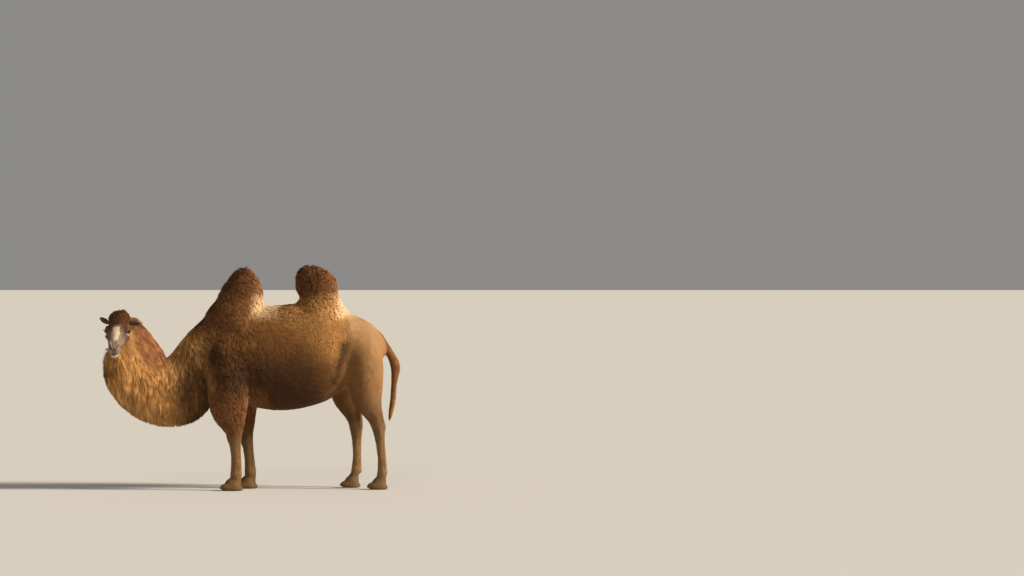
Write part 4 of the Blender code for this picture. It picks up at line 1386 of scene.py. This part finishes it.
def marked(tree, shader, value, span, light):
    """Colours the shader by the animal's colours with their painted light and shade, as light as
    value says: light's two ends are reached at span's."""
    marking = add_node(tree, "ShaderNodeAttribute", {"attribute_name": "marking"})
    ends = zip(("From Min", "From Max", "To Min", "To Max"), (*span, *light))
    spread = add_node(tree, "ShaderNodeMapRange", dict(ends), {"Value": value})
    tinted = add_node(
        tree, "ShaderNodeVectorMath", {"operation": "SCALE"},
        {"Vector": marking.outputs["Color"], "Scale": spread},
    )
    tree.links.new(tinted.outputs["Vector"], shader.inputs["Base Color"])


def bumped(tree, shader, height, strength, distance):
    """Raises the shader's surface by height, up to distance."""
    settings = {"Strength": strength, "Distance": distance}
    bump = add_node(tree, "ShaderNodeBump", settings, {"Height": height})
    tree.links.new(bump.outputs["Normal"], shader.inputs["Normal"])


def marked_hair(name, roughness, sheen, grain, contrast):
    """Hair in the animal's colours, with their painted light and shade, mottled strand by strand.
    """
    found, tree, shader = new_material(
        name,
        {"Roughness": roughness, "Specular IOR Level": 0.12, "Sheen Weight": sheen,
         "Sheen Roughness": 0.5, "Sheen Tint": (1.0, 0.80, 0.55, 1.0), "IOR": 1.55},
    )
    mottle = noise(tree, own_place(tree), grain, 3.0, 0.6)
    marked(tree, shader, mottle, (0.3, 0.7), (1 - contrast, 1 + contrast))
    return found


@cache
def winter_wool():
    """Crimped undercoat: matt, with a soft bloom of light at its edges."""
    return marked_hair("winter_wool", 0.88, 0.10, 0.012, 0.16)


@cache
def guard_hair():
    """Long coarse hair: straighter and a little glossier than wool."""
    return marked_hair("guard_hair", 0.66, 0.06, 0.009, 0.18)


@cache
def sleek_hair():
    """Short summer-like coat that lies flat and takes a low sheen."""
    return marked_hair("sleek_hair", 0.66, 0.06, 0.007, 0.12)


@cache
def hide():
    """Skin under a flat short coat: fine hair grain shows as streaked bump, over soft folds."""
    found, tree, shader = new_material(
        "short_haired_hide", {"Roughness": 0.72, "Specular IOR Level": 0.16, "Sheen Weight": 0.05}
    )
    place = own_place(tree)
    # Hairs run down the body, so the grain is drawn out along Z: 3 mm across, 18 mm long.
    scale = {"Scale": (1 / 0.003, 1 / 0.003, 1 / 0.018)}
    drawn = add_node(tree, "ShaderNodeMapping", scale, {"Vector": place})
    strands = noise(tree, drawn, 1.0, 3.0, 0.65)
    patches = noise(tree, place, 0.045, 4.0, 0.6)
    both_grains = add_node(tree, "ShaderNodeMath", {"operation": "ADD"}, {0: strands, 1: patches})
    marked(tree, shader, both_grains, (0.7, 1.3), (0.80, 1.18))
    bumped(tree, shader, strands, 0.55, 0.0016)
    return found


@cache
def horn():
    """Toenail keratin: dull, dark, with growth rings about 2 mm apart."""
    found, tree, shader = new_material("toenail_keratin", {"Roughness": 0.48, "IOR": 1.54})
    rings = add_node(
        tree, "ShaderNodeTexWave",
        {"Scale": 1 / 0.0026 / 6.283, "Distortion": 2.0, "Detail": 2.0, "bands_direction": "Z"},
        {"Vector": own_place(tree)},
    ).outputs["Fac"]
    ramped(tree, shader, rings, [(0.0, "#3a322b"), (1.0, "#54493f")])
    bumped(tree, shader, rings, 0.4, 0.0006)
    return found


@cache
def lash_hair():
    """Eyelashes and whiskers: dark, smooth and slightly glossy."""
    found, tree, shader = new_material("lash_hair", {"Roughness": 0.45, "Specular IOR Level": 0.4})
    tone = noise(tree, own_place(tree), 0.004, 2.0)
    ramped(tree, shader, tone, [(0.0, "#2a1c12"), (1.0, "#6b4c30")])
    return found


@cache
def cornea():
    """Wet eyeball: dark brown iris and oval pupil under a clear glossy film."""
    found, tree, shader = new_material(
        "wet_cornea",
        {"Roughness": 0.10, "IOR": 1.376, "Specular IOR Level": 0.25, "Coat Weight": 0.35,
         "Coat Roughness": 0.02},
    )
    ring = add_node(tree, "ShaderNodeAttribute", {"attribute_name": "from_pupil"})
    fibres = noise(tree, own_place(tree), 0.0016, 3.0)
    frayed = add_node(
        tree, "ShaderNodeMath", {"operation": "MULTIPLY_ADD", 1: 0.08},
        {0: fibres, 2: ring.outputs["Fac"]},
    )
    # pupil, iris, its dark outer edge and the little of the white that shows
    ramped(tree, shader, frayed, [
        (0.0, "#050403"), (0.40, "#060403"), (0.47, "#3a2110"), (0.74, "#4a2c15"),
        (0.82, "#1c120b"), (0.95, "#6a5546"),
    ])
    return found


FINISHES = {"wool": winter_wool, "guard": guard_hair, "sleek": sleek_hair}


# ---- lashes and whiskers
def bristle_tree():
    """Geometry nodes that stand a curved tapering bristle on each point of a mesh."""
    tree = bpy.data.node_groups.new("bristles", "GeometryNodeTree")
    face = tree.interface
    face.new_socket("Geometry", in_out="INPUT", socket_type="NodeSocketGeometry")
    for name, value in (("Thickness", 0.025), ("Bend", 0.35)):
        face.new_socket(name, in_out="INPUT", socket_type="NodeSocketFloat").default_value = value
    face.new_socket("Finish", in_out="INPUT", socket_type="NodeSocketMaterial")
    face.new_socket("Geometry", in_out="OUTPUT", socket_type="NodeSocketGeometry")
    given = add_node(tree, "NodeGroupInput").outputs

    # a thin cone one metre high, bent by the square of the height
    cone = add_node(
        tree, "GeometryNodeMeshCone",
        {"Vertices": 4, "Side Segments": 5, "Radius Top": 0.0, "Depth": 1.0},
        {"Radius Bottom": given["Thickness"]},
    )
    spot = add_node(tree, "GeometryNodeInputPosition")
    parts = add_node(tree, "ShaderNodeSeparateXYZ", None, {"Vector": spot})
    height = add_node(
        tree, "ShaderNodeMath", {"operation": "POWER", 1: 2.0}, {0: parts.outputs["Z"]}
    )
    push = add_node(
        tree, "ShaderNodeMath", {"operation": "MULTIPLY"}, {0: height, 1: given["Bend"]}
    )
    offset = add_node(tree, "ShaderNodeCombineXYZ", None, {"X": push})
    bent = add_node(tree, "GeometryNodeSetPosition", None, {"Geometry": cone, "Offset": offset})

    def stored(name, kind="FLOAT_VECTOR"):
        return add_node(tree, "GeometryNodeInputNamedAttribute", {"data_type": kind, "Name": name})

    upright = add_node(
        tree, "FunctionNodeAlignRotationToVector", {"axis": "Z"}, {"Vector": stored("facing")}
    )
    rolled = add_node(
        tree, "FunctionNodeAlignRotationToVector", {"axis": "X", "pivot_axis": "Z"},
        {"Rotation": upright, "Vector": stored("curl")},
    )
    placed = add_node(
        tree, "GeometryNodeInstanceOnPoints", None,
        {"Points": given["Geometry"], "Instance": bent, "Rotation": rolled,
         "Scale": stored("reach", "FLOAT")},
    )
    real = add_node(tree, "GeometryNodeRealizeInstances", None, {"Geometry": placed})
    painted = add_node(
        tree, "GeometryNodeSetMaterial", None, {"Geometry": real, "Material": given["Finish"]}
    )
    add_node(tree, "NodeGroupOutput", None, {"Geometry": painted})
    return tree


def bristles(name, spots, facings, curls, reaches, thickness, bend):
    """A plain mesh of bristles, one at each spot."""
    mesh = bpy.data.meshes.new(name)
    mesh.from_pydata([tuple(spot) for spot in spots], [], [])
    for attribute, values in (("facing", facings), ("curl", curls), ("reach", reaches)):
        set_attribute(mesh, attribute, np.asarray(values, np.float32))
    obj = linked(name, mesh)
    stand = obj.modifiers.new("bristles", "NODES")
    stand.node_group = bpy.data.node_groups.get("bristles") or bristle_tree()
    given = {item.name: item.identifier for item in stand.node_group.interface.items_tree
             if item.in_out == "INPUT"}
    for setting, value in (("Thickness", thickness), ("Bend", bend), ("Finish", lash_hair())):
        stand[given[setting]] = value
    evaluated(obj)
    obj.data.name = name
    obj.data.shade_smooth()
    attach(obj, "root")


# Rows of lashes, two on each upper lid and one on each lower: (row's height as a share of the
# opening's, 1 above or -1 below, count, length, lean upward).
LASHES = [(1.06, 1, 34, 0.026, -0.12), (1.15, 1, 30, 0.020, 0.10), (1.06, -1, 14, 0.007, -0.25)]


def lash_places(rng):
    """Roots, directions, ways of curling and lengths of all lashes."""
    spots, facings, curls, reaches = [], [], [], []
    wide, above, below = OPENING
    for side in (-1, 1):
        outward, forward, upward = eye_axes(side)
        centre = np.array([0.0, side * EYE_SPREAD, 0.0])
        for stand, sign, count, reach, rise in LASHES:
            high = above if sign > 0 else below
            for k in range(count):
                turn = (k + 0.5) / count * math.pi
                level = math.cos(turn) * wide * 0.93
                height = sign * math.sin(turn) * high * stand
                out = math.sqrt(max(0.05, 1 - level ** 2 - height ** 2))
                direction = forward * level + upward * height + outward * out
                direction /= np.linalg.norm(direction)
                spots.append(centre + direction * (EYE_RADIUS + 0.0012))
                lean = outward * 0.90 + upward * rise + forward * level * 0.35
                lean += 0.08 * rng.normal(size=3)
                facings.append(lean / np.linalg.norm(lean))
                curls.append(upward * sign)
                reaches.append(reach * rng.uniform(0.8, 1.15) * (0.65 + 0.35 * math.sin(turn)))
    turn = np.array(HEAD.to_3x3())
    return from_head(spots), np.array(facings) @ turn.T, np.array(curls) @ turn.T, reaches


def whisker_places(rng):
    """Sparse whiskers on both lips, the nostrils' wings and the chin."""
    body = skin()
    local = to_head(body.points)
    zone = (local[:, 0] > 0.215) & (np.linalg.norm(local - [0.27, 0, -0.09], axis=1) < 0.09)
    picks = rng.choice(np.flatnonzero(zone), 150, replace=False)
    normals = body.normals[picks]
    spots = body.points[picks] - normals * 0.0008
    down = np.array([0.0, 0.0, -1.0])
    facings = unit(normals + 0.55 * down + 0.25 * rng.normal(size=(len(picks), 3)))
    curls = np.tile(down, (len(picks), 1))
    return spots, facings, curls, rng.uniform(0.010, 0.026, len(picks))


# ---- eyes and nails
GLOBE = EYE_RADIUS - 0.0004
CORNEA_RISE = 0.0007


def eyeball(name, node, side):
    """A globe with a slightly raised cornea, marked by distance from its oval pupil: 0 at its
    middle, about 0.4 at the pupil's edge and 1 at the white."""
    bm = bmesh.new()
    bmesh.ops.create_uvsphere(bm, u_segments=48, v_segments=32, radius=GLOBE)
    mesh = mesh_of(bm, name)
    outward, forward, upward = eye_axes(side)
    direction = unit(mesh_arrays(mesh)[0])
    wide, tall = direction @ forward, direction @ upward
    front = direction @ outward > 0
    away = np.where(front, np.hypot(wide / 1.12, tall) / 0.62, 1.4)
    pupil = np.where(front, np.hypot(wide / 0.40, tall / 0.22) * 0.40, 1.4)
    ring = np.minimum(np.maximum(pupil.clip(0, 0.5), away * 0.78), 1.0)
    ring = np.where(pupil < 0.40, pupil, np.maximum(ring, 0.48))
    rise = np.exp(-(np.hypot(wide, tall) / 0.45) ** 2) * front * CORNEA_RISE
    placed = from_head(direction * (GLOBE + rise)[:, None] + [0, side * EYE_SPREAD, 0])
    mesh.vertices.foreach_set("co", placed.astype(np.float32).ravel())
    set_attribute(mesh, "from_pupil", ring.astype(np.float32))
    mesh.materials.append(cornea())
    mesh.shade_smooth()
    mesh.update()
    obj = linked(name, mesh)
    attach(obj, "root")
    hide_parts(node)


def add_nail(bm, low, high):
    """A blunt ridged nail that fills its node's box, flat underneath."""
    centre, half = (low + high) / 2, (high - low) / 2
    verts = bmesh.ops.create_uvsphere(bm, u_segments=28, v_segments=18, radius=1.0)["verts"]
    for vert in verts:
        x, y, z = vert.co
        ridge = 1 + 0.012 * math.sin(11 * math.atan2(y, -x))
        # The nail slopes back from its worn lower edge to the quick, and is narrower below.
        back = 0.80 * (z + 0.55) * (z > -0.55)
        broad = 0.86 + 0.14 * z
        vert.co = centre + Vector((
            half.x * (squared(x, 0.8) * ridge * 0.95 + back),
            half.y * squared(y, 0.8) * broad,
            half.z * max(z, -0.75),
        ))


def make_nails():
    """The eight toenails as one piece."""
    bm = bmesh.new()
    for name in NAIL_NODES:
        add_nail(bm, *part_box(name))
    mesh = mesh_of(bm, "toenails")
    mesh.shade_smooth()
    mesh.materials.append(horn())
    obj = linked("toenails", mesh)
    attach(obj, "root")
    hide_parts(*NAIL_NODES)


# ---- pieces of the coat
BEHIND_SHOULDER = 0.12


def both(name, *rest, **more):
    """The same piece for the animal's left and right."""
    return [Piece(f"{name}_{side}", *rest, side=way, **more)
            for side, way in (("left", -1), ("right", 1))]


FRONT, REAR = (-10.0, BEHIND_SHOULDER), (BEHIND_SHOULDER, 10.0)
PIECES = {
    "barrel": [
        *both("shoulder_wool", ("trunk",), 2, 9, 0.60, 0.007, "wool", "wool", span=FRONT),
        *both("flank_wool", ("trunk",), 2, 9, 0.50, 0.006, "wool", "wool", span=REAR),
        *both("hump_wool", HUMPS, 2, 9, 0.55, 0.007, "wool", "wool"),
        *both("rump_hair", ("rump", "tail_dock"), 1, 6, 0.30, 0.003, "smooth_coat", "sleek"),
    ],
    "neck": [
        Piece("neck_hair", NECK, 4, 8, 0.28, 0.006, "wool", "guard", hang=0.10),
        Piece("mane_hair", ("mane",), 3, 8, 0.28, 0.006, "mane_hair", "guard", True, hang=0.10),
        Piece("beard_hair", ("throat_beard",), 4, 9, 0.22, 0.006, "beard_hair", "guard", True,
              hang=0.12),
    ],
    "crowns": [
        Piece(f"{end}_crown_curls", (f"hump_{end}_crown",), 3, 9, 0.95, 0.022, "dark_curls",
              "wool", True)
        for end in ("front", "rear")
    ],
    "head": [
        Piece("forelock_curls", ("forelock",), 3, 8, 0.70, 0.006, "dark_curls", "wool", True),
        Piece("face_hair", ("head", "ear_left", "ear_right"), 1, 5, 0.22, 0.001, "face_coat",
              "sleek"),
        Piece("chin_tuft", ("chin",), 4, 8, 0.25, 0.060, "beard_hair", "guard", hang=1.0),
    ],
    "legs": [
        Piece(f"{end}_{side}_hair", leg_nodes(f"{end}_{side}"), rings, 8, 0.35, 0.004,
              "lower_leg_coat", finish)
        for end, rings, finish in (("fore", 2, "wool"), ("hind", 1, "sleek"))
        for side in ("left", "right")
    ],
    "tail": [
        Piece("tail_hair", ("tail_tuft",), 3, 7, 0.25, 0.004, "dark_curls", "guard", True,
              hang=0.10),
    ],
}


# ---- the studio
# The camera stands back from the animal and along it, in metres, so that the animal is at the
# left of the picture, as in the photograph.
CAMERA_TURN = math.radians(-8.0)
CAMERA_ALONG = 2.49
CAMERA_BACK = 32.0
CAMERA_HEIGHT = 1.90
CAMERA_SHIFT = -0.0285
LENS, SENSOR = 119.25, 36.0
FLOOR_SIZE = 3000.0
FAR = 5000.0
# Lights: direction towards the light, angular size, share of the key's power, colour.
LIGHTS = {
    "key": ((0.88, -0.36, 0.50), 12.0, 1.0, "#fff5e6"),
    "front_fill": ((-0.25, -1.0, 0.45), 12.0, 0.05, "#ffffff"),
}


def studio_paper():
    """Matt off-white paper, so that the animal's own colours read true."""
    colour = (*bpy.context.scene.camel_stage.floor, 1)
    return new_material(
        "studio_paper", {"Roughness": 0.9, "Specular IOR Level": 0.1, "Base Color": colour}
    )[0]


def make_stage():
    """Floor, soft light and the camera at the photograph's view."""
    scene = bpy.context.scene
    settings = scene.camel_stage
    bm = bmesh.new()
    bmesh.ops.create_grid(bm, x_segments=8, y_segments=8, size=FLOOR_SIZE)
    bmesh.ops.translate(bm, verts=bm.verts, vec=(0, 0, CAD_BOX[0][2]))
    mesh = mesh_of(bm, "floor")
    mesh.materials.append(studio_paper())
    linked("floor", mesh)

    scene.world = bpy.data.worlds.new("studio")
    scene.world.use_nodes = True
    background = scene.world.node_tree.nodes["Background"]
    background.inputs["Color"].default_value = (*settings.air, 1)
    background.inputs["Strength"].default_value = settings.fill
    for name, (direction, size, share, colour) in LIGHTS.items():
        light = bpy.data.lights.new(name, "SUN")
        light.energy = settings.key * share
        light.angle = math.radians(size)
        light.color = linear(colour)
        turn = Vector(direction).to_track_quat("Z", "Y").to_euler()
        linked(name, light).rotation_euler = turn

    right = Vector((math.cos(CAMERA_TURN), math.sin(CAMERA_TURN), 0.0))
    back = Vector((math.sin(CAMERA_TURN), -math.cos(CAMERA_TURN), 0.0))
    view = bpy.data.cameras.new("photo_view")
    view.lens, view.sensor_width, view.clip_end = LENS, SENSOR, FAR
    camera = linked("photo_view", view)
    camera.location = right * CAMERA_ALONG + back * CAMERA_BACK
    camera.location += Vector((CAMERA_SHIFT, MIDLINE, CAMERA_HEIGHT))
    camera.rotation_euler = (math.pi / 2, 0.0, CAMERA_TURN)
    scene.camera = camera
    # The coat's colours are matched under this transform.
    scene.view_settings.view_transform = "Standard"


# ---- sidebar and operators
def colour_setting(name, description, code):
    return FloatVectorProperty(
        name=name, description=description, default=linear(code), subtype="COLOR", min=0, max=1
    )


class CamelCoat(bpy.types.PropertyGroup):
    """Colours and thickness of the coat."""

    thickness: FloatProperty(
        name="Thickness", description="Tufts per area, as a share of the full winter coat",
        default=1.0, min=0.05, max=1.5, subtype="FACTOR",
    )
    # Darkened, also browns the front of the thigh, partly as painted shade.
    ginger: colour_setting("Barrel", "Wool of the barrel", "#8a5c30")
    # Darker wool, and painted shade: low on the barrel, over the belly and shoulder, in the
    # flank's hollow and the thigh's furrow, over the long hair in front of the shoulder and under
    # the throat, and low on the hind legs. It also darkens the lower legs.
    shade: colour_setting("Shade", "Dark wool low on the barrel and shoulder", "#503420")
    # Also laid on the rear of the barrel, partly as painted light.
    gold: colour_setting("Gold", "Beard, cheeks and the wool of the back", "#b5824a")
    # Also painted, much darkened, as shade in the nostrils, the mouth and the lip's cleft; on the
    # front ridge of the front hump it is dark wool and partly painted shade.
    dark: colour_setting("Dark curls", "Crowns of the humps, forelock and forearms", "#603c22")
    # Also laid on the rear sides of the humps' crowns, partly as painted light.
    rust: colour_setting("Mane", "Red-brown mane", "#94603a")
    tan: colour_setting("Rump", "Short coat of the rump and thighs", "#a2764a")
    # Also a painted highlight on the rear slopes of the humps and on the croup, over paler hair.
    cream: colour_setting("Cream", "Pale slopes of the humps and croup", "#e2be90")
    leg: colour_setting("Legs", "Short coat of the lower legs", "#84633c")
    blaze: colour_setting("Blaze", "Pale face, eye rings and lips", "#ccb596")
    # Darkened, also painted shade in the folds round the eyes and by the nostrils.
    hide: colour_setting("Face", "Grey-brown of the cheeks", "#594537")
    muzzle: colour_setting("Muzzle", "Greyish muzzle", "#8c7466")


class CamelFace(bpy.types.PropertyGroup):
    """Lashes and whiskers."""

    lash: FloatProperty(
        name="Lash thickness",
        description="Radius of a lash at its root, as a share of its length",
        default=0.020, min=0.001, max=0.2, subtype="FACTOR",
    )
    whisker: FloatProperty(
        name="Whisker thickness",
        description="Radius of a whisker at its root, as a share of its length",
        default=0.016, min=0.001, max=0.2, subtype="FACTOR",
    )


class CamelStage(bpy.types.PropertyGroup):
    """Light and floor of the studio."""

    key: FloatProperty(
        name="Key light", description="Strength of the low side light", default=5.2, min=0, max=20
    )
    fill: FloatProperty(
        name="Fill", description="Strength of the light from all round", default=0.30, min=0, max=5
    )
    floor: colour_setting("Floor", "Colour of the paper floor", "#d4d0c9")
    air: colour_setting("Air", "Colour of the light from all round", "#f0eeea")


class CAMEL_OT_skin(bpy.types.Operator):
    """Make the one skin under the whole coat"""

    bl_idname = "camel.skin"
    bl_label = "Skin"

    def execute(self, context):
        make_skin()
        return {"FINISHED"}


class CAMEL_OT_coat(bpy.types.Operator):
    """Grow one region's tufts on the skin"""

    bl_idname = "camel.coat"
    bl_label = "Coat"

    region: EnumProperty(
        name="Region", description="Part of the animal to grow the coat on",
        items=[(key, key.title(), f"Coat of the {key}") for key in PIECES],
    )

    def execute(self, context):
        for piece in PIECES[self.region]:
            grow(piece)
        return {"FINISHED"}


class CAMEL_OT_eyes(bpy.types.Operator):
    """Make both eyeballs"""

    bl_idname = "camel.eyes"
    bl_label = "Eyes"

    def execute(self, context):
        for which in ("left", "right"):
            across = to_head(np.array([middle(f"eye_{which}")]))[0, 1]
            eyeball(f"eyeball_{which}", f"eye_{which}", 1 if across > 0 else -1)
        return {"FINISHED"}


class CAMEL_OT_bristles(bpy.types.Operator):
    """Set lashes on the lids and whiskers on the lips"""

    bl_idname = "camel.bristles"
    bl_label = "Lashes and whiskers"

    def execute(self, context):
        settings = context.scene.camel_face
        rng = np.random.default_rng(SEED)
        bristles("lashes", *lash_places(rng), settings.lash, 0.22)
        bristles("whiskers", *whisker_places(rng), settings.whisker, 0.30)
        return {"FINISHED"}


class CAMEL_OT_toenails(bpy.types.Operator):
    """Make the toenails"""

    bl_idname = "camel.toenails"
    bl_label = "Toenails"

    def execute(self, context):
        make_nails()
        return {"FINISHED"}


class CAMEL_OT_stage(bpy.types.Operator):
    """Make the floor, lights and camera"""

    bl_idname = "camel.stage"
    bl_label = "Studio"

    def execute(self, context):
        make_stage()
        return {"FINISHED"}


class CAMEL_PT_panel(bpy.types.Panel):
    """Camel's pieces and settings"""

    bl_idname = "CAMEL_PT_panel"
    bl_label = "Bactrian camel"
    bl_space_type = "VIEW_3D"
    bl_region_type = "UI"
    bl_category = "Camel"

    def draw(self, context):
        layout = self.layout
        for group in SETTINGS:
            box = layout.box()
            settings = getattr(context.scene, group)
            for name in settings.bl_rna.properties.keys():
                if name not in ("rna_type", "name"):
                    box.prop(settings, name)
        layout.operator("camel.skin")
        for region in PIECES:
            layout.operator("camel.coat", text=f"Coat: {region}").region = region
        for name in ("camel.eyes", "camel.bristles", "camel.toenails", "camel.stage"):
            layout.operator(name)


SETTINGS = {"camel_coat": CamelCoat, "camel_face": CamelFace, "camel_stage": CamelStage}
CLASSES = (
    *SETTINGS.values(), CAMEL_OT_skin, CAMEL_OT_coat, CAMEL_OT_eyes, CAMEL_OT_bristles,
    CAMEL_OT_toenails, CAMEL_OT_stage, CAMEL_PT_panel,
)


def register():
    for cls in CLASSES:
        bpy.utils.register_class(cls)
    for name, cls in SETTINGS.items():
        setattr(bpy.types.Scene, name, PointerProperty(type=cls))


def unregister():
    for name in SETTINGS:
        delattr(bpy.types.Scene, name)
    for cls in reversed(CLASSES):
        bpy.utils.unregister_class(cls)


def main():
    register()
    bpy.ops.camel.skin()
    bpy.ops.camel.eyes()
    bpy.ops.camel.toenails()
    for region in PIECES:
        bpy.ops.camel.coat(region=region)
    bpy.ops.camel.bristles()
    bpy.ops.camel.stage()


if __name__ == "__main__":
    main()
